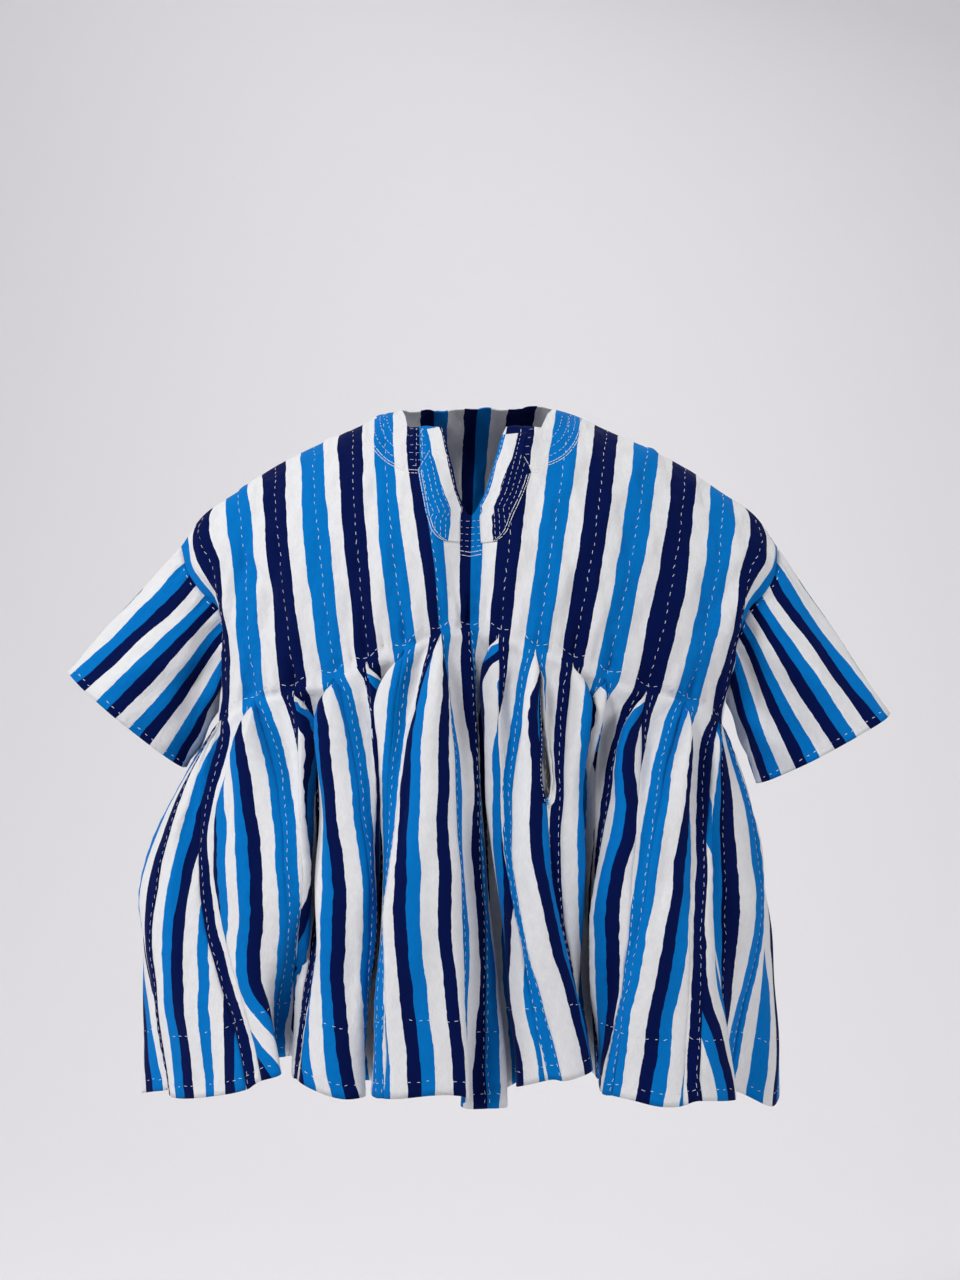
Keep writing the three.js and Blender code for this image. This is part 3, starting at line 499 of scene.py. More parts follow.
def skirt_relief(columns):
    """How far the skirt stands proud at each grid point, in mm. Gores swell out between the
    tails below the gather line, and a tail sinks between two of them."""
    across = lengths(come_round(columns))
    turn = (np.arange(len(columns)) / len(columns))[:, None]
    height = waves(turn, ROWS[None], SKIRT_WAVES, 5) * ramp(ROWS, 0, 0.3)
    height += waves(turn, ROWS[None], GATHER_WAVES, 6) * np.exp(-ROWS / 0.11)
    index = np.arange(len(across))
    for face, creases in SKIRT_CREASES.items():
        for line, share, start, to_share, end, width, depth in creases:
            part = (ROWS - start) / (end - start)
            first, last = place_of(face, line, 0), place_of(face, line, 1)
            column = first + (last - first) * (share + (to_share - share) * part)
            middle = np.array([np.interp(c, index, across[:, r]) for r, c in enumerate(column)])
            trough = bump(ROWS, start, end) * bell(across[:-1] - middle, width)
            height += CREASE_DEPTH * depth * trough
    puff = bump(ROWS ** 0.5, 0.04, 0.60) + 0.45 * bump(ROWS ** 0.5, 0.1, 1)
    for piece, (first, last) in zip(PIECES, SPANS):
        inside = np.arange(first, last + 1)
        share = ((inside - first) / (last - first))[:, None]
        swell = GORE_SWELL if piece["kind"] == "gore" else TAIL_SINK
        swell *= 1 if abs(piece["line"]) < 7 else ARM_CALM
        if piece["face"] != "side":
            height[inside % len(columns)] += swell * np.sin(np.pi * share) * puff
        distance = np.abs(across[:-1] - across[first])
        distance = np.minimum(distance, across[-1] - distance)
        height += seam_groove(distance, ROWS * SKIRT_LENGTH + 30 * first, *GORE_GROOVE)
    return height * ramp(ROWS, 0, 0.03)


def creased_skirt(columns):
    """The skirt moved out by its relief, along its normals laid level. The seams waver a little
    sideways, and the hem rises and falls by 2 mm."""
    normals = grid_normals(columns, closed=True)
    normals[..., 2] *= 0.3
    moved = columns + normals * skirt_relief(columns)[..., None]
    turn = (np.arange(len(columns)) / len(columns))[:, None]
    waver = waves(turn, ROWS[None], [(0.5, 41, 5), (0.3, 67, -8), (0.9, 19, 2.4)], 8)
    moved += unit(round_step(columns)) * (waver * ramp(ROWS, 0, 0.05))[..., None]
    moved[..., 2] += waves(turn, ROWS[None], [(1.2, 31, 0), (1.0, 47, 0)], 7) * ramp(ROWS, 0.85, 1)
    return moved


SKIRT = creased_skirt(SKIRT)
print("creases in the skirt:", sum(map(len, SKIRT_CREASES.values())))

# %% [markdown]
# ## Cloth from a grid
# A sheet of cloth is a grid of points that gets a wall of its own thickness on the inner side.
# The wall comes from a Solidify modifier, so the grid stays the outer face. Each corner of a
# face also gets two numbers: millimetres across the woven strip, and millimetres along it. The
# stripes, the weave and the threads all read those, so they follow the folds.

# %% Cloth from a grid
WALL = 1.2  # mm


def corners(values):
    """Values at the four corners of every grid cell, in the order of its face."""
    return np.stack([values[:-1, :-1], values[:-1, 1:], values[1:, 1:], values[1:, :-1]], axis=2)


def cells(grid, first=0):
    """The faces of a grid, as the numbers of their four corners. first is that of its first."""
    number = first + np.arange(grid.shape[0] * grid.shape[1]).reshape(grid.shape[:2])
    return corners(number).reshape(-1, 4)


def put(data):
    """Places an object in the scene, with the name of its data."""
    made = bpy.data.objects.new(data.name, data)
    bpy.context.scene.collection.objects.link(made)
    return made


def smooth_object(name, points, faces, material, weave=None):
    """A smooth object of one material. With a weave, its equal points are joined."""
    mesh = bpy.data.meshes.new(name)
    mesh.from_pydata(points.tolist(), [], faces)
    if weave is not None:
        mesh.uv_layers.new(name="weave").data.foreach_set("uv", weave.astype(np.float32))
        sewn = bmesh.new()
        sewn.from_mesh(mesh)
        bmesh.ops.remove_doubles(sewn, verts=sewn.verts, dist=1e-6)
        sewn.to_mesh(mesh)
        sewn.free()
    mesh.polygons.foreach_set("use_smooth", np.ones(len(mesh.polygons), bool))
    mesh.materials.append(material)
    mesh.update()
    return put(mesh)


def cloth(name, grids, material, replaces=(), wall=WALL):
    """A sheet from one or more pairs: a grid of points in mm, [column, row, 3], and its weave,
    the two cloth coordinates at the corners of its cells, [column, row, corner, 2]. Equal
    points are joined, so neighbouring grids make one sheet and a tip is closed."""
    faces, count = [], 0
    for grid, _ in grids:
        faces.append(cells(grid, count))
        count += grid.shape[0] * grid.shape[1]
    points = np.concatenate([grid.reshape(-1, 3) for grid, _ in grids]) * MM
    weave = np.concatenate([w.reshape(-1) for _, w in grids])
    piece = smooth_object(name, points, np.concatenate(faces).tolist(), material, weave)
    if wall:
        solid = piece.modifiers.new("wall", "SOLIDIFY")
        solid.thickness, solid.offset = wall * MM, -1
    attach(piece, "root")
    if replaces:
        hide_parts(*replaces)
    return piece


def surface_area(points):
    """Area of a grid in square metres."""
    a, b = np.diff(points, axis=0)[:, :-1], np.diff(points, axis=1)[:-1]
    return float(np.linalg.norm(np.cross(a, b), axis=-1).sum()) * MM ** 2


print("skirt:", round(surface_area(SKIRT), 3), "m2 of cloth,", WALL, "mm thick")

# %% [markdown]
# ## Running stitches
# The seams, tails and hems are all closed with coarse white hand stitches. Each is a short
# spindle of thread that rises out of the cloth and dives in again. Thousands are needed, so a
# spindle has only sixteen faces, and all those of one kind are one mesh.

# %% Lines on a grid and stitches along them
SPINDLE = np.array([-1, -0.6, 0, 0.6, 1])  # places of the five points along a half stitch
RISE = np.array([-0.6, 0.2, 0.42, 0.2, -0.6])  # and their heights, as shares of the thickness


def on_grid(grid, column, row):
    """Points of a grid at fractional columns and rows: the even mix of the four around."""
    column, row = np.broadcast_arrays(np.asarray(column, float), np.asarray(row, float))
    column = np.clip(column, 0, grid.shape[0] - 1.001)
    row = np.clip(row, 0, grid.shape[1] - 1.001)
    c, r = column.astype(int), row.astype(int)
    u, v = (column - c)[..., None], (row - r)[..., None]
    return ((grid[c, r] * (1 - u) + grid[c + 1, r] * u) * (1 - v)
            + (grid[c, r + 1] * (1 - u) + grid[c + 1, r + 1] * u) * v)


def surface(grid):
    """A grid and its outward directions."""
    return grid, grid_normals(grid)


def line_on(faced, column, row, lift=0.0):
    """A line on a surface, or some millimetres above it: its points and the outward
    directions there."""
    points, normals = [on_grid(part, column, row) for part in faced]
    return points + normals * lift, normals


def spindles(centre, up, thick):
    """Corners and faces of closed spindles: two tips and three rings of four corners, so 14.
    centre is [stitch, 5, 3] along each thread, from tip to tip, and up the outward direction
    there."""
    side = unit(np.cross(centre[:, 4:] - centre[:, :1], up))
    rings = [centre[:, 1:4] + way * thick / 2
             for way in (side[:, 1:4], -up[:, 1:4] * 0.8, -side[:, 1:4], up[:, 1:4] * 0.8)]
    rings = np.stack(rings, axis=2).reshape(len(centre), 12, 3)
    points = np.concatenate([centre[:, :1], rings, centre[:, 4:]], axis=1)
    k = np.arange(4)
    n = (k + 1) % 4
    sides = np.concatenate([np.stack([1 + 4 * j + k, 1 + 4 * j + n, 5 + 4 * j + n, 5 + 4 * j + k],
                                     axis=1) for j in (0, 1)])
    tips = np.concatenate([np.stack([0 * k, 1 + n, 1 + k], axis=1),
                           np.stack([13 + 0 * k, 9 + k, 9 + n], axis=1)])
    base = (14 * np.arange(len(centre)))[:, None, None]
    faces = (sides + base).reshape(-1, 4).tolist() + (tips + base).reshape(-1, 3).tolist()
    return points.reshape(-1, 3), faces


def stitches(name, lines, material, pitch=9.0, length=4.8, thick=0.8, stray=0.3):
    """Running stitches along lines of points and directions, a little uneven: each strays from
    its line by about as many millimetres as stray says."""
    draw = np.random.default_rng(len(name))
    centres, ups = [], []
    for points, normals in lines:
        reach = lengths(points)
        count = max(1, int(reach[-1] / pitch))
        middle = (np.arange(count) + 0.5) * reach[-1] / count + draw.normal(0, 0.5, count)
        half = length / 2 * draw.uniform(0.7, 1.15, count)
        places = middle[:, None] + half[:, None] * SPINDLE
        at, up = along(points, reach, places), unit(along(normals, reach, places))
        shift, turn = draw.normal(0, 1, (count, 1)), draw.normal(0, 1, (count, 1))
        tilt = shift * stray + np.linspace(-1, 1, 5) * turn * stray
        at = at + unit(np.cross(at[:, 4:] - at[:, :1], up)) * tilt[..., None]
        centres.append(at + up * (thick * RISE)[:, None])
        ups.append(up)
    centre = np.concatenate(centres)
    points, faces = spindles(centre, np.concatenate(ups), thick)
    piece = smooth_object(name, points * MM, faces, material)
    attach(piece, "root")
    print(name, len(centre), "stitches")


ONE = spindles(np.arange(5.0)[None, :, None] * [1, 0, 0], np.ones((1, 5, 1)) * [0, 0, 1], 0.8)
print("a stitch has", len(ONE[0]), "corners and", len(ONE[1]), "faces")

# %% [markdown]
# ## Shader maths
# A material is a graph of small nodes. Written by hand it is long, so one small class wraps a
# socket and turns Python sums into Math nodes.

# %% Shader maths
def feed(node, **inputs):
    """Gives a node its inputs, by name or by number (i0, i1): a socket is linked, and a plain
    value is set."""
    for key, value in inputs.items():
        socket = node.inputs[int(key[1:]) if key[1:].isdigit() else key.replace("_", " ")]
        if isinstance(value, Socket):
            node.id_data.links.new(value.out, socket)
        else:
            socket.default_value = value


class Socket:
    """One output of a node. Sums, differences, products and quotients of it add Math nodes."""

    def __init__(self, out):
        self.out = out

    def node(self, kind, settings=None, **inputs):
        """Adds a node with its own settings and its inputs, and gives its outputs."""
        made = self.out.id_data.nodes.new(kind)
        for key, value in (settings or {}).items():
            setattr(made, key, value)
        feed(made, **inputs)
        return [Socket(out) for out in made.outputs]

    def math(self, operation, *values):
        """What a Math node makes of the values."""
        ins = {f"i{k}": v for k, v in enumerate(values)}
        return self.node("ShaderNodeMath", {"operation": operation}, **ins)[0]

    def wave(self, pitch):
        """A sine wave between 0 and 1."""
        return self.math("SINE", self * (2 * np.pi / pitch)) * 0.5 + 0.5

    def noise(self, scale, detail=2.0, rough=0.5):
        """Soft noise between 0 and 1 at this place."""
        return self.node("ShaderNodeTexNoise", None, Vector=self, Scale=scale, Detail=detail,
                         Roughness=rough)[0]

    def stretched(self, other, x, y):
        """A place whose two measures are this socket times x and the other times y."""
        return self.node("ShaderNodeCombineXYZ", None, X=self * x, Y=other * y)[0]

    def tint(self, red=1, green=1, blue=1):
        """A colour, each of its parts a share of this value."""
        parts = [self if part == 1 else self * part for part in (red, green, blue)]
        return self.node("ShaderNodeCombineColor", None, i0=parts[0], i1=parts[1], i2=parts[2])[0]

    def bands(self, stops):
        """Flat colours, each from its own place on to the next."""
        made = self.out.id_data.nodes.new("ShaderNodeValToRGB")
        made.color_ramp.interpolation = "CONSTANT"
        elements = made.color_ramp.elements
        while len(elements) < len(stops):
            elements.new(0.5)
        for element, (place, colour) in zip(elements, stops):
            element.position, element.color = place, colour
        feed(made, Fac=self)
        return Socket(made.outputs[0])

    def bumps(self, strength, distance):
        """The direction of a surface with this height, for a shader."""
        return self.node("ShaderNodeBump", None, Height=self, Strength=strength,
                         Distance=distance)[0]


# Python asks a socket for __add__ in socket + 2, and for __radd__ in 2 + socket.
for method, operation in (("add", "ADD"), ("sub", "SUBTRACT"), ("mul", "MULTIPLY"),
                          ("truediv", "DIVIDE")):
    setattr(Socket, f"__{method}__", lambda self, other, name=operation:
            self.math(name, self, other))
    setattr(Socket, f"__r{method}__", lambda self, other, name=operation:
            self.math(name, other, self))


def new_material(name):
    """A material with one shader, and that shader."""
    material = bpy.data.materials.new(name)
    material.use_nodes = True
    tree = material.node_tree
    tree.nodes.clear()
    shader = tree.nodes.new("ShaderNodeBsdfPrincipled")
    output = tree.nodes.new("ShaderNodeOutputMaterial")
    tree.links.new(shader.outputs[0], output.inputs["Surface"])
    return material, shader


print("sums that add nodes:", [name for name in vars(Socket) if name.startswith("__r")])

# %% [markdown]
# ## The woven cloth
# The cloth is coarse hand-spun cotton in three colours. The warp runs along the strip and
# covers the weft, so the surface shows fine lengthwise ribs with a faint cross rib where each
# weft lies. The stripes are bands of warp, so their edges are sharp but wander a little.

# %% Cloth material
COLOUR_OF = {"W": (0.77, 0.77, 0.79, 1), "L": (0.0, 0.168, 0.53, 1),  # white, light blue
             "N": (0.0004, 0.0055, 0.066, 1), "G": (0.42, 0.43, 0.43, 1)}  # navy, grey
PLAIN_STRIP = [(0, "L"), (14, "W"), (31, "N"), (59, "W"), (76, "L")]
RIB_PITCH, WEFT_PITCH = 0.8, 1.3  # mm
WANDER = 4.5  # mm between the furthest strays of a stripe's edge


def striped_material(name, bands, low, high, wraps=False):
    """Cloth with colour bands along its length. bands are (millimetres across, colour). With
    wraps, the bands repeat every (high - low) millimetres."""
    material, shader = new_material(name)
    weave = shader.id_data.nodes.new("ShaderNodeUVMap")
    weave.uv_map = "weave"
    base = Socket(weave.outputs[0])
    across, down, _ = base.node("ShaderNodeSeparateXYZ", None, Vector=base)
    slow = across.stretched(down, 0.02, 0.011)
    wander = slow.noise(3.0, 3.0, 0.6) - 0.5
    share = (across + wander * WANDER - low) / (high - low)
    if wraps:
        share = base.math("FRACT", share)
    colour = share.bands([((mm - low) / (high - low), COLOUR_OF[c]) for mm, c in bands])
    rib, weft = across.wave(RIB_PITCH), down.wave(WEFT_PITCH)
    thread = across.stretched(down, 1.2, 0.14).noise(1.0, 2.0, 0.6)
    # Random tone of the threads and a slow mottle, less a painted shade of 5 % in the grooves
    # between the warp ribs.
    tone_and_rib_shade = 0.80 + thread * 0.22 + slow.noise(6.0, 4.0, 0.6) * 0.18 - (1 - rib) * 0.05
    mottled_and_shaded = base.node("ShaderNodeMix", {"data_type": "RGBA", "blend_type": "MULTIPLY"},
                        i0=1.0, i6=colour, i7=tone_and_rib_shade.tint())[2]
    crinkle = slow.noise(5.5, 2.0, 0.55) * 7 + slow.noise(25.0, 3.0, 0.6) * 1.5
    height = rib * 0.35 + weft * 0.2 + thread * 0.5 + crinkle
    feed(shader, Base_Color=mottled_and_shaded, Roughness=0.84 + thread * 0.12,
         Normal=height.bumps(0.55, 0.0004), Sheen_Weight=0.02, Sheen_Roughness=0.5,
         Specular_IOR_Level=0.06)
    return material


def thread_material(name, colour=(0.8, 0.8, 0.82)):
    """Twisted cotton: fine ridges and a slightly uneven colour."""
    material, shader = new_material(name)
    place = Socket(shader.id_data.nodes.new("ShaderNodeTexCoord").outputs["Object"])
    uneven = place.noise(900.0)
    feed(shader, Base_Color=(0.85 + uneven * 0.25).tint(*colour), Roughness=0.7 + uneven * 0.2,
         Normal=uneven.bumps(0.5, 0.0002))
    return material


strip_cloth = striped_material("strip_cloth", PLAIN_STRIP, 0, 90, wraps=True)
white_thread = thread_material("white_thread")
print("first cloth:", strip_cloth.name)

# %% [markdown]
# ## Front and back panels
# A strip is woven light blue, white, navy. The sewer turned most strips over against their
# neighbours, so equal colours meet at the seams. At the centre three strips run the same way.
# Sixteen strips could be laid side by side, but one grid with a column on every seam stays
# closed, and the weave numbers alone tell the strips apart.

# %% Panels
TURNED_STRIPS = [-7, -5, -3, 1, 3, 5, 7]  # low seams of those with navy on the viewer's left
PANEL_ROWS = np.linspace(0, 1, 64)
COLUMN_LINES = np.arange(-8 * PER_STRIP, 8 * PER_STRIP + 1) / PER_STRIP
NECK_DRIFT = [(-2.6, 0), (-2, 5), (-1.5, 10), (-1, 13), (-0.5, 9), (-0.2, 3), (0, 0)]  # line, mm


def drifted(face_name, line, share):
    """The strip lines of the front, drifted to the viewer's left beside the neck."""
    if face_name == "back":
        return line + 0 * share
    shift = np.interp(line, *np.array(NECK_DRIFT).T)
    return line - shift / STRIP * (1 - ramp(share, 0.25, 0.95))


def panel_grid(face_name):
    """Grid of a panel from the neck or shoulder to the gather line, with the strip lines of
    its columns and the share of the way down of every point."""
    face = FACES[face_name]
    lines = -face * COLUMN_LINES
    starts = neck_start(face_name, drifted(face_name, lines, 0.2))
    starts = neck_start(face_name, drifted(face_name, lines, starts))
    share = starts[:, None] + (1 - starts)[:, None] * PANEL_ROWS
    points = panel_point(face, drifted(face_name, lines[:, None], share), share)
    relief = panel_relief(face_name, lines[:, None], share)
    return lines, share, points + grid_normals(points) * relief[..., None]


def panel_weave(lines, share, points):
    """Cloth coordinates of a panel's cells: across from the strip that the cell is in."""
    down = corners(share[:, :1] * PANEL_LENGTH + lengths(points, axis=1))
    low = np.floor((lines[:-1] + lines[1:]) / 2).astype(int)
    start = np.where(np.isin(low, TURNED_STRIPS), STRIP, 0)
    across = np.stack([(side - low) * STRIP + start for side in
                       (lines[:-1], lines[:-1], lines[1:], lines[1:])], axis=-1)
    return np.stack([np.broadcast_to(across[:, None], down.shape), down], axis=-1)


panels = {}
for face_name in FACES:
    lines, share, points = panel_grid(face_name)
    panels[face_name] = (points, panel_weave(lines, share, points))
    print(face_name, "panel", points.shape[:2], "area", round(surface_area(points), 3), "m2")

# %% [markdown]
# ## Tails and gores
# Below the gather line every strip runs on as a tail. The gore beside it takes most of its
# width away, so a narrow band is left between two gores. A gore is cut from joined strips with
# one seam along the stripes and the other on the bias, so new stripes start one by one down
# the bias seam. Their places come from the length of the thread across, not from the grid.

# %% Stripes of the gores
GORE_CLOTH = {  # where the weave starts, as a share from the inner seam, and its colours
    "odd": (0.0, "WLNWLNWLN", ""), "even": (0.0, "lWNLWLNWLN", ""),  # outwards, inwards
    "centre": (0.37, "WLNWLN", "NWLNWL"), "left_end": (1.0, "", "WLNWLWNLW"),
    "right_end": (1.0, "", "LWLWNLWNL"), "pocket": (0.0, "WwNLWNLWN", ""),
    "side_left": (0.0, "NWLNWLNWLNWLNWLNWL", ""), "side_right": (0.0, "lWLlWNLWNLWNLWNLWNL", "")}
BAND = {"W": 17.0, "L": 14.0, "N": 14.0, "l": 8.5, "w": 8.0}
SPECIAL_GORES = {("front", -7): "left_end", ("front", -1): "centre", ("front", 2): "pocket",
                 ("front", 7): "right_end", ("side", -8): "side_left", ("side", 8): "side_right"}
EASE = 0.2  # a tail shows its whole strip at the gather line, and its true width this far down
SKIRT_START = 400  # mm along the weave at the gather line


def gore_material(kind):
    """Bands from the start of the weave outwards (plus) and inwards (minus)."""
    _, outward, inward = GORE_CLOTH[kind]
    bands, high, low = [], 0.0, 0.0
    for colour in outward:
        bands.append((high, colour.upper()))
        high += BAND[colour]
    for colour in inward:
        low -= BAND[colour]
        bands.append((low, colour.upper()))
    return striped_material(f"gore_cloth_{kind}", sorted(bands), low, high)


def gore_kind(piece):
    """Which cloth a gore is cut from: one of the special ones, or by turns odd and even."""
    seam = piece["line"]
    return SPECIAL_GORES.get((piece["face"], seam), "odd" if seam % 2 else "even")


def piece_weave(piece, points):
    """Cloth coordinates of a tail or gore at its grid points. A gore counts from its inner
    seam, less its start. A tail counts from its outer edge, eased to the whole strip at the
    gather line."""
    across = lengths(points)
    total = across[-1]
    outwards, from_low = piece["line"] > 0, piece["face"] != "back"
    if piece["face"] == "side":
        outwards, from_low = True, outwards
    if piece["kind"] == "gore":
        inner = across if outwards == from_low else total - across
        across = inner - GORE_CLOTH[gore_kind(piece)][0] * total
    else:
        ease = np.maximum(0, 1 - ROWS / EASE)
        width = np.minimum(total * (1 + (STRIP / total[0] - 1) * ease), STRIP)
        share = across / total if from_low else 1 - across / total
        across = STRIP - (1 - share) * width if outwards else share * width
        if min(piece["from"], piece["to"]) in TURNED_STRIPS:
            across = across + STRIP
    return np.stack([across, SKIRT_START + lengths(points, axis=1)], axis=-1)


for kind, (_, outward, inward) in GORE_CLOTH.items():
    print(kind, "gore cloth:", sum(BAND[colour] for colour in outward + inward), "mm of bands")

# %% Gores, tails and their slits
POCKETS = {  # seam between a gore and a tail, and how wide the slit gapes down its length
    "left": ((-2, -2.5), [(0.04, 0), (0.08, 6), (0.16, 8), (0.22, 6), (0.28, 8), (0.33, 0)]),
    "right": ((2, 2.5), [(0.035, 0), (0.06, 8), (0.15, 10), (0.21, 13), (0.265, 19), (0.3, 18),
                         (0.335, 8), (0.35, 0)])}
GORE_GAPE, TAIL_GAPE = 0.25, 0.75  # shares of the gape that each lip takes
LIP_REACH = 11  # mm of cloth beside the slit that moves with its lip


def gape(piece, points):
    """Moves the columns of a piece away from a pocket slit on its edge."""
    for (gore, tail), widths in POCKETS.values():
        if piece["face"] == "front" and piece["line"] in (gore, tail):
            way = 1 if (piece["line"] == tail) == (gore > 0) else -1
            half = np.interp(ROWS, *np.array(widths).T) * (
                GORE_GAPE if piece["line"] == gore else TAIL_GAPE)
            move = half * bell(lengths(points[::way])[::way], LIP_REACH) * way
            points = points + unit(np.gradient(points, axis=0)) * move[..., None]
    return points


gore_cloths = {kind: gore_material(kind) for kind in GORE_CLOTH}
numbers = {"front": 0, "back": 0}
tails = {"front": [], "back": []}
gaping = {}
for piece, (first, last) in zip(PIECES, SPANS):
    face = piece["face"]
    points = SKIRT[np.arange(first, last + 1) % len(SKIRT)]
    weave = corners(piece_weave(piece, points))
    points = gape(piece, points)
    gaping[face, piece["line"]] = points
    if piece["kind"] == "tail":
        tails[face].append((points, weave))
        continue
    if face == "side":
        tag = "left" if piece["line"] < 0 else "right"
    else:
        numbers[face] += 1
        tag = f"{numbers[face]:02d}"
    made = cloth(f"{face}_gore_{tag}", [(points, weave)], gore_cloths[gore_kind(piece)],
                 [f"gore_{face}_{tag}"])
    width, area = piece["width"] * MM, surface_area(points)
    print(made.name, round(area, 4), "of", round(0.47 * width, 4))

for face_name in FACES:
    grids = [panels[face_name]] + tails[face_name]
    made = cloth(f"{face_name}_panel", grids, strip_cloth, [f"body_{face_name}"])
    area = sum(surface_area(points) for points, _ in grids)
    print(made.name, "with tails", round(area, 3), "m2")

# %% [markdown]
# ## Stitching of the body
# One row of stitches runs down each seam of the panels, and one along the gather line. Each
# tail is sewn down along both of its edges, and two rows run round near the hem. They could be
# drawn in the material, but real thread stands proud and catches the light. Every row is a
# line on the cloth's own grid, so it keeps to its seam through all the folds.

# %% Stitching of the body
SEAM_INSET = 0.45  # columns from a seam to its row of stitches
TAIL_INSET = 2.3  # mm from the edge of a tail to its row of stitches
HEM_ROWS = (15, 78)  # mm from the hem up to each row


def seam_rows(face_name):
    """Lines beside the strip seams of a panel, from its edge to the gather line."""
    panel, rows = surface(panels[face_name][0]), np.linspace(0.5, 62.5, 120)
    return [line_on(panel, (8 - FACES[face_name] * seam) * PER_STRIP + SEAM_INSET, rows)
            for seam in range(-7, 8) if seam]


def gather_row(face_name):
    """The row of stitches along the gather line, just above the tips of the gores."""
    columns = np.linspace(PER_STRIP, 15 * PER_STRIP, 400)
    rows = 61.0 + 0.35 * np.sin(columns / 9) + 0.9 * np.cos(2 * np.pi * columns / PER_STRIP)
    return [line_on(surface(panels[face_name][0]), columns, rows)]


ROUND_SKIRT = come_round(SKIRT), come_round(grid_normals(SKIRT, closed=True))


def rows_at(heights):
    """Rows of the skirt, as real numbers, at shares of the way down."""
    return np.interp(heights, ROWS, np.arange(len(ROWS)))


def tail_rows():
    """Lines inside both edges of every tail."""
    lines, rows = [], np.linspace(0.5, 74.6, 200)
    for piece, (first, last) in zip(PIECES, SPANS):
        if piece["kind"] == "tail":
            inset = TAIL_INSET / piece["width"] * (last - first)
            lines += [line_on(ROUND_SKIRT, column, rows)
                      for column in (first + inset, last - inset)]
    return lines


def hem_rows():
    """Lines round the skirt a little above the hem."""
    columns = np.arange(0, len(SKIRT), 0.5)
    return [line_on(ROUND_SKIRT, columns, rows_at(1 - height / SKIRT_LENGTH))
            for height in HEM_ROWS]


for face_name in FACES:
    stitches(f"seam_stitches_{face_name}", seam_rows(face_name), white_thread,
             pitch=9.5, length=5.6, thick=0.55, stray=0.5)
    stitches(f"gather_row_{face_name}", gather_row(face_name), white_thread,
             pitch=8.0, length=5.6, thick=0.6, stray=0.3)
stitches("tail_stitches", tail_rows(), white_thread,
         pitch=9.0, length=5.8, thick=0.48, stray=0.45)
stitches("hem_stitches", hem_rows(), white_thread, pitch=9.0, length=4.6, thick=0.55, stray=0.5)

# %% [markdown]
# ## Neck
# Each side of the V has a facing: one more strip, turned out over the edge and sewn down with
# rows of white stitches. Beside it the body is quilted: grids of dashes close to the neck,
# arcs on the light blue, and short rows below the point of the V. Laid out flat they are simple
# to draw, so all are drawn as they are seen from the front, then found again on the panel.

# %% Neck
FACINGS = {  # (across, up) along the outer edge and below the point of the V, and the bands
    "left": ([(-54, -22), (-50, -43), (-62, -64), (-58, -83), (-54, -104), (-49, -121),
              (-43, -129), (-36, -133)], [(-19, -109), (-19.5, -135)],
             [(0, "N"), (4, "W"), (17, "L")]),
    "right": ([(49, -25), (45, -49), (53, -64), (49, -77), (43, -91), (36, -106), (30, -122),
               (25, -129), (18, -134)], [(1, -110), (2, -136)],
              [(0, "L"), (4, "W"), (17, "N")])}
FACING_ROWS, FACING_COLUMNS = 70, 15
FACING_LIFT = 0.9  # mm above the panel
FACING_START = 200  # mm along the weave at the shoulder
V_EDGE, V_REACH = 0.42, 0.3  # strip line of the middle of a V edge, and its reach on either side
FRONT = surface(panels["front"][0])
SEEN_FRONT = FRONT[0][..., [0, 2]]  # (across, up) of each point of the front


def front_place(places):
    """Fractional column and row of the front panel where it is seen at (across, up): the
    nearest grid point, then four Newton steps in the flat view."""
    flat, last = places.reshape(-1, 2), np.array(SEEN_FRONT.shape[:2])[:, None] - 1
    gap = ((flat[:, None] - SEEN_FRONT.reshape(1, -1, 2)) ** 2).sum(-1)
    at = np.array(np.divmod(gap.argmin(axis=1), SEEN_FRONT.shape[1]), float)
    for _ in range(4):
        c, r = np.clip(at, 0.5, last - 0.6)
        miss = (flat - on_grid(SEEN_FRONT, *at)).T
        by_column = (on_grid(SEEN_FRONT, c + 0.5, r) - on_grid(SEEN_FRONT, c - 0.5, r)).T
        by_row = (on_grid(SEEN_FRONT, c, r + 0.5) - on_grid(SEEN_FRONT, c, r - 0.5)).T
        area = by_column[0] * by_row[1] - by_column[1] * by_row[0]
        step = np.array([miss[0] * by_row[1] - miss[1] * by_row[0],
                         by_column[0] * miss[1] - by_column[1] * miss[0]]) / area
        at = np.clip(at + np.clip(step, -2, 2), 0, last)
    return at.reshape(2, *places.shape[:-1])


def legs(places, count=60):
    """Even steps along straight legs between (across, up) places."""
    places = np.array(places, float)
    reach = lengths(places)
    return along(places, reach, np.linspace(0, reach[-1], count))


def facing_places(side):
    """(across, up) of a facing's grid, from the V edge outwards. Its inner edge is the V edge
    of the panel, and runs straight down from the point of the V."""
    outer, below, _ = FACINGS[side]
    line = drifted("front", COLUMN_LINES, neck_start("front", COLUMN_LINES)) + NECK_SHIFT
    edge = SEEN_FRONT[np.abs(line - V_EDGE * SIDES[side]) < V_REACH, 0]
    inner = legs(np.concatenate([edge[::-SIDES[side]], below]), FACING_ROWS)
    share = np.linspace(0, 1, FACING_COLUMNS)[:, None, None]
    return inner + (legs(outer, FACING_ROWS) - inner) * share


def neck_line(places, lift=0.0):
    """A thread on the front, lifted by lift millimetres, which the callers set to a facing's
    thickness on a facing.
    """
    return line_on(FRONT, *front_place(places), lift)


def straight(*places, lift=0.0):
    """A thread on the front with straight legs."""
    return neck_line(legs(places), lift)


def arc(centre, radii, from_angle, to_angle):
    """Part of an ellipse. Angles are in degrees, 0 to the right and -90 down."""
    angle = np.radians(np.linspace(from_angle, to_angle, 40))
    return np.stack([centre[0] + radii[0] * np.cos(angle),
                     centre[1] + radii[1] * np.sin(angle)], axis=-1)


print("lowest end of the left facing:", facing_places("left")[0, -1].round(1))

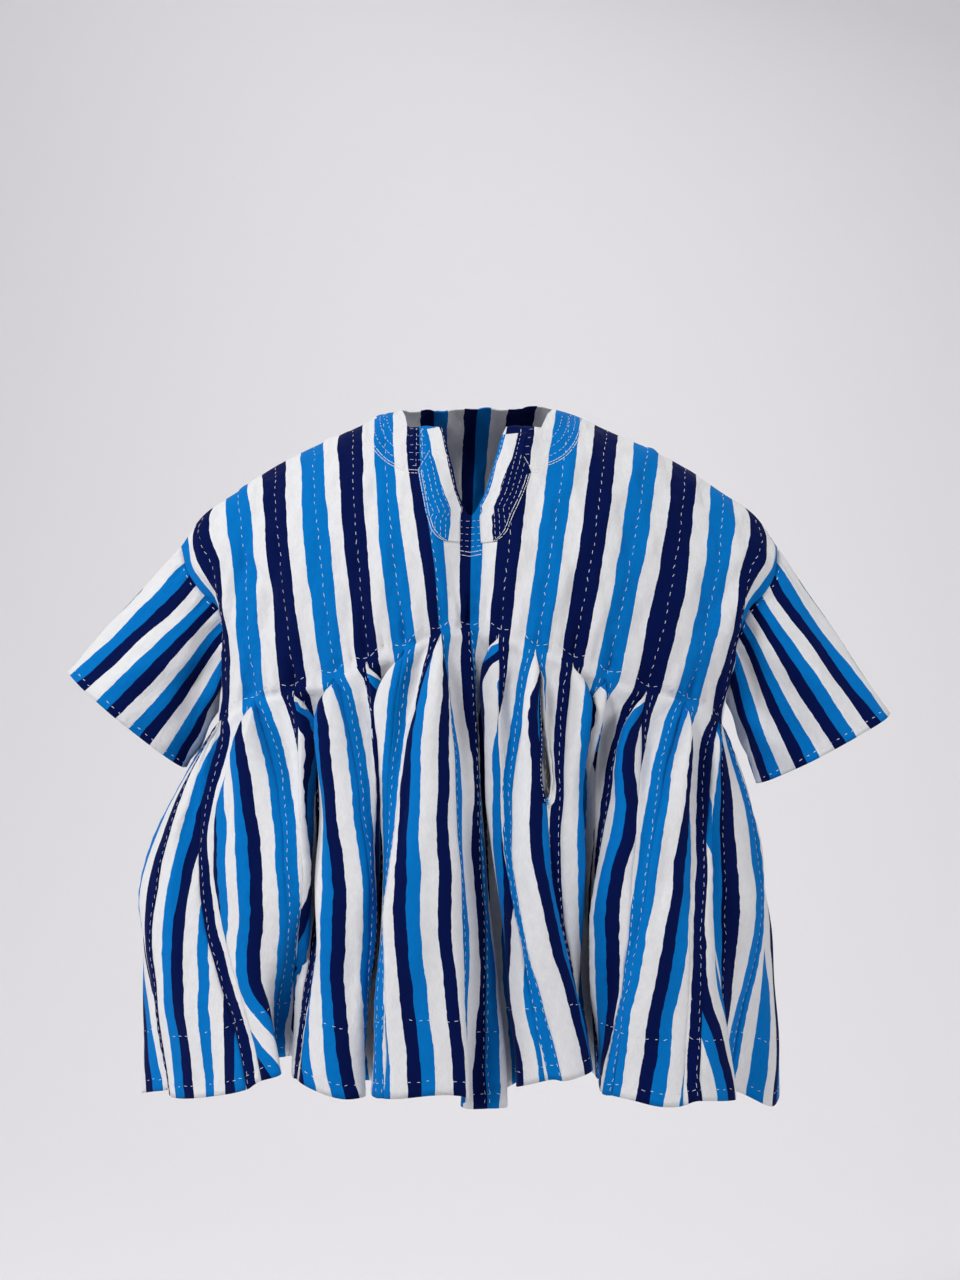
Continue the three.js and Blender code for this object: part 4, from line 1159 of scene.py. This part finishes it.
# %% Facings and quilting
dashes, threads = [], []
for side, sign in SIDES.items():
    places = facing_places(side)
    points, normals = line_on(FRONT, *front_place(places))
    weave = np.stack([lengths(points) + 4 * ramp(-places[..., 1], 104, 110),
                      FACING_START + lengths(points, axis=1)], axis=-1)
    points, weave = (points + normals * FACING_LIFT)[::sign], weave[::sign]
    bands = striped_material(f"facing_cloth_{side}", FACINGS[side][2], 0, 60)
    made = cloth(f"neck_facing_{side}", [(points, corners(weave))], bands, wall=1.1)
    print(made.name, round(surface_area(points) * 1e6), "mm2")
    across = places[-1] - places[0]
    width = np.linalg.norm(across, axis=-1)
    for inset in (2.2, 9, 15, 20, 25.5, 31):  # rows of dashes, from the V edge
        rows = width > inset + 2
        dashes.append(neck_line(places[0, rows] + across[rows] * (inset / width[rows])[:, None],
                                FACING_LIFT))
    for inset in (0.8, 3.4):  # the double line round the outer edge, below its 25th row
        rows = (np.arange(FACING_ROWS) > 24) & (width > inset + 1)
        threads.append(neck_line(places[-1, rows] - across[rows] * (inset / width[rows])[:, None],
                                 FACING_LIFT))
threads += [straight((-50, -43), (-62.5, -64), lift=0.5), straight((45, -48), (54, -63), lift=0.5),
            straight((-72, -62), (-62, -62.5)), straight((-72, -65), (-62, -65.5)),
            straight((54, -62), (62, -62)), straight((54, -65), (62, -65))]
dashes += [straight((-72, up), (inner, up - 0.5)) for up, inner in
           ((-21, -55), (-28, -54), (-37, -52), (-45, -53), (-52, -58), (-58, -61))]
dashes += [straight((-64, -20), (-64, -60)), straight((-58, -20), (-58, -52))]
dashes += [straight((inner, up), (65, up + 2)) for up, inner in
           ((-22, 50), (-30, 49), (-39, 47), (-47, 46), (-54, 50), (-59, 53))]
dashes += [straight((58, -20), (58, -58))]
dashes += [straight((-21, up), (-9, up - 1.5), (3, up))  # short rows below the point of the V
           for up in (-113, -119.5, -126, -132.5, -138.5)]
threads += [straight((-21, up), (-9, up - 2.5), (3, up)) for up in (-143, -147)]
for centre, radii, turn in (((-68, -6), (51, 57), (183, 262)), ((60, -6), (48, 53), (-3, -82))):
    for rows, scales in ((dashes, (0.84, 0.69, 0.54, 0.39)), (threads, (1.0, 0.955))):
        rows += [neck_line(arc(centre, np.array(radii) * scale, *turn)) for scale in scales]
stitches("neck_stitches", dashes, white_thread, pitch=5.8, length=4.9, thick=0.42, stray=0.12)
# The outline is a couched thread: its spindles are longer than their pitch, so they touch.
stitches("neck_outline", threads, white_thread, pitch=3.2, length=4.4, thick=0.7, stray=0.05)

# %% [markdown]
# ## Sleeves
# A sleeve is a short wide tube of the same strips, sewn to the edges of both panels. It could
# be draped by a cloth simulation, but both of its ends are known: the armhole and the cuff. So
# threads are laid straight from one to the other, and then creased and pleated by formula.

# %% Sleeves
CUFFS = {  # outer end, inner end and depth of each cuff
    "left": ((-434, 0, -276), (-309, 0, -380), 82), "right": ((435, 0, -321), (293, 0, -396), 82)}
UNDERARM = 0.86  # share of the panel's length at which the sleeve closes
SLEEVE_CREASES = {  # place round at both ends (0 top, 0.25 front), from and to, width, height
    "left": [(0.30, 0.34, 0.02, 0.85, 0.035, -5), (0.20, 0.20, 0.05, 0.95, 0.05, 3.5),
             (0.38, 0.42, 0.02, 0.60, 0.03, 3.0), (0.44, 0.44, 0.02, 0.70, 0.025, -4.0),
             (0.10, 0.14, 0.10, 1.10, 0.035, -2.2), (0.70, 0.66, 0.05, 0.90, 0.05, -4.0),
             (0.80, 0.82, 0.05, 1.05, 0.05, 3.0), (0.60, 0.60, 0.02, 0.70, 0.03, 3.0)],
    "right": [(0.31, 0.36, 0.02, 0.80, 0.035, -5), (0.22, 0.20, 0.05, 1.00, 0.05, 3.5),
              (0.39, 0.44, 0.02, 0.65, 0.03, 3.0), (0.45, 0.46, 0.02, 0.70, 0.025, -4.0),
              (0.12, 0.10, 0.10, 1.10, 0.04, -2.2), (0.72, 0.68, 0.05, 0.95, 0.05, -4.0),
              (0.82, 0.80, 0.05, 1.05, 0.05, 3.0), (0.62, 0.60, 0.02, 0.70, 0.03, 3.0)]}
SLEEVE_WAVES = [(1.3, 2, 0.7), (1.1, 3, -1.3), (0.8, 5, 2.1)]
SLEEVE_DEPTH = 1.6  # deepens every crease of the sleeves
PLEATS = 26  # round the armhole
SLEEVE_BANDS = [(0, "W"), (17, "L"), (31, "N")]
TURN = np.linspace(0, 1, 97)[:, None]  # round the sleeve: top, front, under the arm, back, top


def sleeve_grid(side):
    """Grid of a sleeve: round it from the top over the front and back again, and along it from
    the armhole to the cuff. The cuff is an ellipse, and threads run straight to it."""
    share = np.where(TURN <= 0.5, TURN * 2, 2 - TURN * 2)[:, 0] * UNDERARM
    start = np.where(TURN <= 0.5, *[panel_point(face, SIDES[side] * 8.0, share)
                                    for face in FACES.values()])
    outer, inner, depth = map(np.array, CUFFS[side])
    end = (outer + inner) / 2 + (outer - inner) / 2 * np.cos(2 * np.pi * TURN)
    end[:, 1:2] -= depth / 2 * np.sin(2 * np.pi * TURN)
    down = np.linspace(0, 1, 40)
    points = start[:, None] + (end - start)[:, None] * down[:, None]
    relief = waves(TURN * 2, down, SLEEVE_WAVES, 11 + SIDES[side])
    for place, to_place, first, last, width, height in SLEEVE_CREASES[side]:
        middle = place + (to_place - place) * (down - first) / (last - first)
        relief = relief + (SLEEVE_DEPTH * height * bump(down, first, last)
                           * bell(TURN - middle, width))
    pleats = np.sin(TURN * 2 * np.pi * PLEATS) * bell(down - 0.06, 0.06)
    relief = (relief + SLEEVE_DEPTH * pleats) * ramp(down, 0, 0.05)
    seam = np.clip(np.minimum(TURN, 1 - TURN) * 14 + 0.15, 0, 0.5)  # calmer along the top
    normals = grid_normals(points) * -SIDES[side]
    return points + normals * (relief * np.sin(np.pi * seam))[..., None], end


sleeve_cloth = striped_material("sleeve_cloth", SLEEVE_BANDS, 0, 45, wraps=True)
sleeve_rows = []
for side, sign in SIDES.items():
    points, cuff = sleeve_grid(side)
    length = lengths(points, axis=1)
    # Near the armhole the threads sag round the front fold before they run straight.
    sag = 9 * bump(TURN, 0.1, 0.5) * bell(length, 40)
    sag = sag + 2.5 * np.sin(length / 17 + 3 * TURN * 2 * np.pi) * np.exp(-length / 60)
    weave = np.stack([lengths(cuff)[:, None] + sag, length], axis=-1)[::-sign]
    points = points[::-sign]
    made = cloth(f"{side}_sleeve", [(points, corners(weave))], sleeve_cloth, [f"sleeve_{side}"])
    for row in (0.8, 37.2):  # beside the armhole, and 12 mm above the cuff
        sleeve_rows.append(line_on(surface(points), np.linspace(1, 95, 190), row))
    print(side, "sleeve area", round(surface_area(points), 3))

stitches("sleeve_stitches", sleeve_rows, white_thread, pitch=9.0, length=4.2, thick=0.7)

# %% [markdown]
# ## Pockets
# Each pocket is a slit left open in a seam, with a leaf of plain cloth behind it. The gore's
# lip has a narrow navy edging, sewn down with white, and the tail's lip is rolled and
# overcast with white. A light blue tack closes both ends of the slit. Nothing is cut away: the
# columns on both sides of the seam move apart, so the stripes bend round the slit.

# %% Pockets
EDGING, EDGING_LIFT = 5.2, 0.9  # mm wide, and mm above the gore
SLIT_SHARE = np.linspace(0, 1, 48)
bag_cloth = striped_material("bag_cloth", [(0, "G")], 0, 45, wraps=True)
edging_cloth = striped_material("edging_cloth", [(0, "N"), (4.2, "L")], 0, 30)
sky_thread = thread_material("sky_thread", (0.02, 0.3, 0.75))
lip_stitches, tacks = [], []


def tube(points, normals, radius):
    """Grid of a round cord along a line: its corners lie round it at 10 even angles."""
    side = unit(np.cross(np.gradient(points, axis=0), normals))
    angle = np.linspace(0, 2 * np.pi, 11)[:, None, None]
    return points + (side * np.cos(angle) + normals * np.sin(angle)) * radius[:, None]


def leaf_grid(slit, sign, widths):
    """The leaf behind a slit. It reaches half the gape and 4 mm to each side of its middle,
    and bows inwards: 5 mm behind the cloth at its edges, and 8 mm in the middle."""
    heights = np.linspace(widths[0][0], widths[-1][0], 40)
    deeper = np.linspace(widths[0][0] + 0.005, widths[-1][0], 40)
    middle, out = line_on(ROUND_SKIRT, slit, rows_at(deeper))
    out = unit(out)
    across = unit(np.cross(np.gradient(middle, axis=0), out))
    half = (np.interp(heights, *np.array(widths).T) / 2 + 4)[:, None]
    middle = middle + across * half * (0.5 if (across[0, 0] > 0) == (sign > 0) else -0.5)
    share = np.linspace(-1, 1, 11)[:, None, None]
    leaf = middle + across * half * share - out * (5 + 3 * np.cos(share * np.pi / 2))
    leaf += out * waves(share[..., 0], np.linspace(0, 1, 40), [(0.8, 0.6, 2), (0.5, 1, -3)],
                        9)[..., None]
    return leaf[::-1] if leaf[-1, 0, 0] < leaf[0, 0, 0] else leaf


for side, ((gore, tail), widths) in POCKETS.items():
    sign = SIDES[side]
    slit = place_of("front", gore, sign > 0)
    rows = rows_at(np.linspace(widths[0][0], widths[-1][0], 48))
    leaf = leaf_grid(slit, sign, widths)
    weave = np.stack([lengths(leaf), lengths(leaf, axis=1)], axis=-1)
    made = cloth(f"pocket_bag_{side}", [(leaf, corners(weave))], bag_cloth, [f"pocket_{side}"])
    print(made.name, round(surface_area(leaf) * 1e6), "mm2")
    # The edging on the gore's lip.
    points, last = gaping["front", gore], len(gaping["front", gore]) - 1
    gore_edge = last if sign > 0 else 0
    spread = EDGING / max(surface_area(points) * 1e6 / SKIRT_LENGTH / last, 1)
    strip, up = line_on(surface(points), gore_edge - sign * np.linspace(0, 1, 5)[:, None] * spread,
                        rows)
    weave = np.stack([4.6 - lengths(strip), lengths(strip, axis=1)], axis=-1)[::-sign]
    strip = (strip + up * EDGING_LIFT)[::-sign]
    made = cloth(f"pocket_edging_{side}", [(strip, corners(weave))], edging_cloth, wall=1.1)
    print(made.name, round(surface_area(strip) * 1e6), "mm2")
    lip_stitches.append(line_on(surface(points), gore_edge - sign * spread * 0.55, rows,
                                EDGING_LIFT))
    # The rolled rim of the tail's lip.
    points = gaping["front", tail]
    line, up = line_on(surface(points), 0 if sign > 0 else len(points) - 1, rows)
    swell = 1.5 + 0.5 * np.sin(np.linspace(0, 31, 48)) * np.sin(np.linspace(0, 12, 48))
    rim = tube(line, unit(up), swell * ramp(SLIT_SHARE, 0, 0.15) * (1 - ramp(SLIT_SHARE, 0.91, 1)))
    weave = np.stack([lengths(rim) + 18, lengths(rim, axis=1)], axis=-1)
    cloth(f"pocket_rim_{side}", [(rim, corners(weave))], white_thread, wall=0)
    for height in (widths[0][0] + 0.004, widths[-1][0] - 0.004):
        tacks += [line_on(ROUND_SKIRT, np.linspace(-4.5, 4.5, 12) / 5.0 + slit,
                          rows_at(height) + shift, 1.2) for shift in (-0.35, 0, 0.35)]
stitches("pocket_stitches", lip_stitches, white_thread, pitch=5.0, length=3.6, thick=0.7)
stitches("pocket_tacks", tacks, sky_thread, pitch=40.0, length=7.0, thick=1.8)

# %% [markdown]
# ## Studio
# A pale sweep runs from the floor up behind the smock, curved so that no corner shows. Large
# soft lights stand on both sides: small lamps would give the cotton hard, dark creases.

# %% Studio
FLOOR, FLOOR_FRONT, FLOOR_BACK = -1.45, -9.0, 2.0  # height, front and back in metres
BEND, WALL_TOP = 2.5, 7.0  # radius of the sweep and top of the wall


def studio():
    """A sweep 14 m wide: the floor, a quarter circle and a wall."""
    bend = np.linspace(0, np.pi / 2, 24)
    y = np.concatenate([[FLOOR_FRONT], FLOOR_BACK + BEND * np.sin(bend), [FLOOR_BACK + BEND]])
    z = np.concatenate([[FLOOR], FLOOR + BEND * (1 - np.cos(bend)), [WALL_TOP]])
    points = np.stack(np.broadcast_arrays(np.linspace(-7, 7, 3)[:, None], y, z), axis=-1)
    material, shader = new_material("studio_paper")
    feed(shader, Base_Color=(0.86, 0.845, 0.87, 1), Roughness=0.9)
    sweep = smooth_object("studio_sweep", points.reshape(-1, 3), cells(points)[:, ::-1].tolist(),
                          material)


def softbox(name, place, target, size, power):
    """A square area light that faces the target."""
    light = bpy.data.lights.new(name, "AREA")
    light.size, light.energy = size, power
    lamp = put(light)
    lamp.location = place
    x, y, z = np.subtract(place, target)
    lamp.rotation_euler = (np.arctan2(np.hypot(x, y), z), 0, np.arctan2(x, -y))


studio()
softbox("key_light", (-1.7, -2.3, 2.7), (0, 0, -0.4), 0.9, 118)
softbox("fill_light", (2.9, -1.7, 0.7), (0, 0, -0.4), 1.2, 46)
softbox("side_light", (-3.0, -0.9, 0.3), (0, 0, -0.4), 0.8, 28)
softbox("back_light", (0.5, 3.2, 2.6), (0, 0, -0.3), 2.5, 60)
softbox("wall_light", (0, 1.6, 2.6), (0, 4.5, -0.6), 2.0, 26)
world = bpy.data.worlds.new("studio_air")
world.use_nodes = True
feed(world.node_tree.nodes["Background"], Color=(0.86, 0.87, 0.9, 1), Strength=0.09)
bpy.context.scene.world = world
bpy.context.scene.view_settings.view_transform = "Standard"
print("lights:", [lamp.name for lamp in bpy.data.lights])

# %% [markdown]
# ## Camera
# The camera stands 2.7 m away at the height of the collar, and looks down by about 5 degrees.
# Nearer by, the chest would look large and the sleeves small. A long lens fills the frame.

# %% Camera
lens = bpy.data.cameras.new("camera")
lens.sensor_fit, lens.sensor_height, lens.lens = "VERTICAL", 36.0, 72.309375  # mm
camera = put(lens)
camera.location = (0.00105, -2.700, 0.00833)
camera.rotation_euler = (np.radians(90 - 5.333), 0, 0)
bpy.context.scene.camera = camera
print("camera:", round(lens.lens, 1), "mm, at", [round(v, 3) for v in camera.location])

# %% [markdown]
# ## Finish
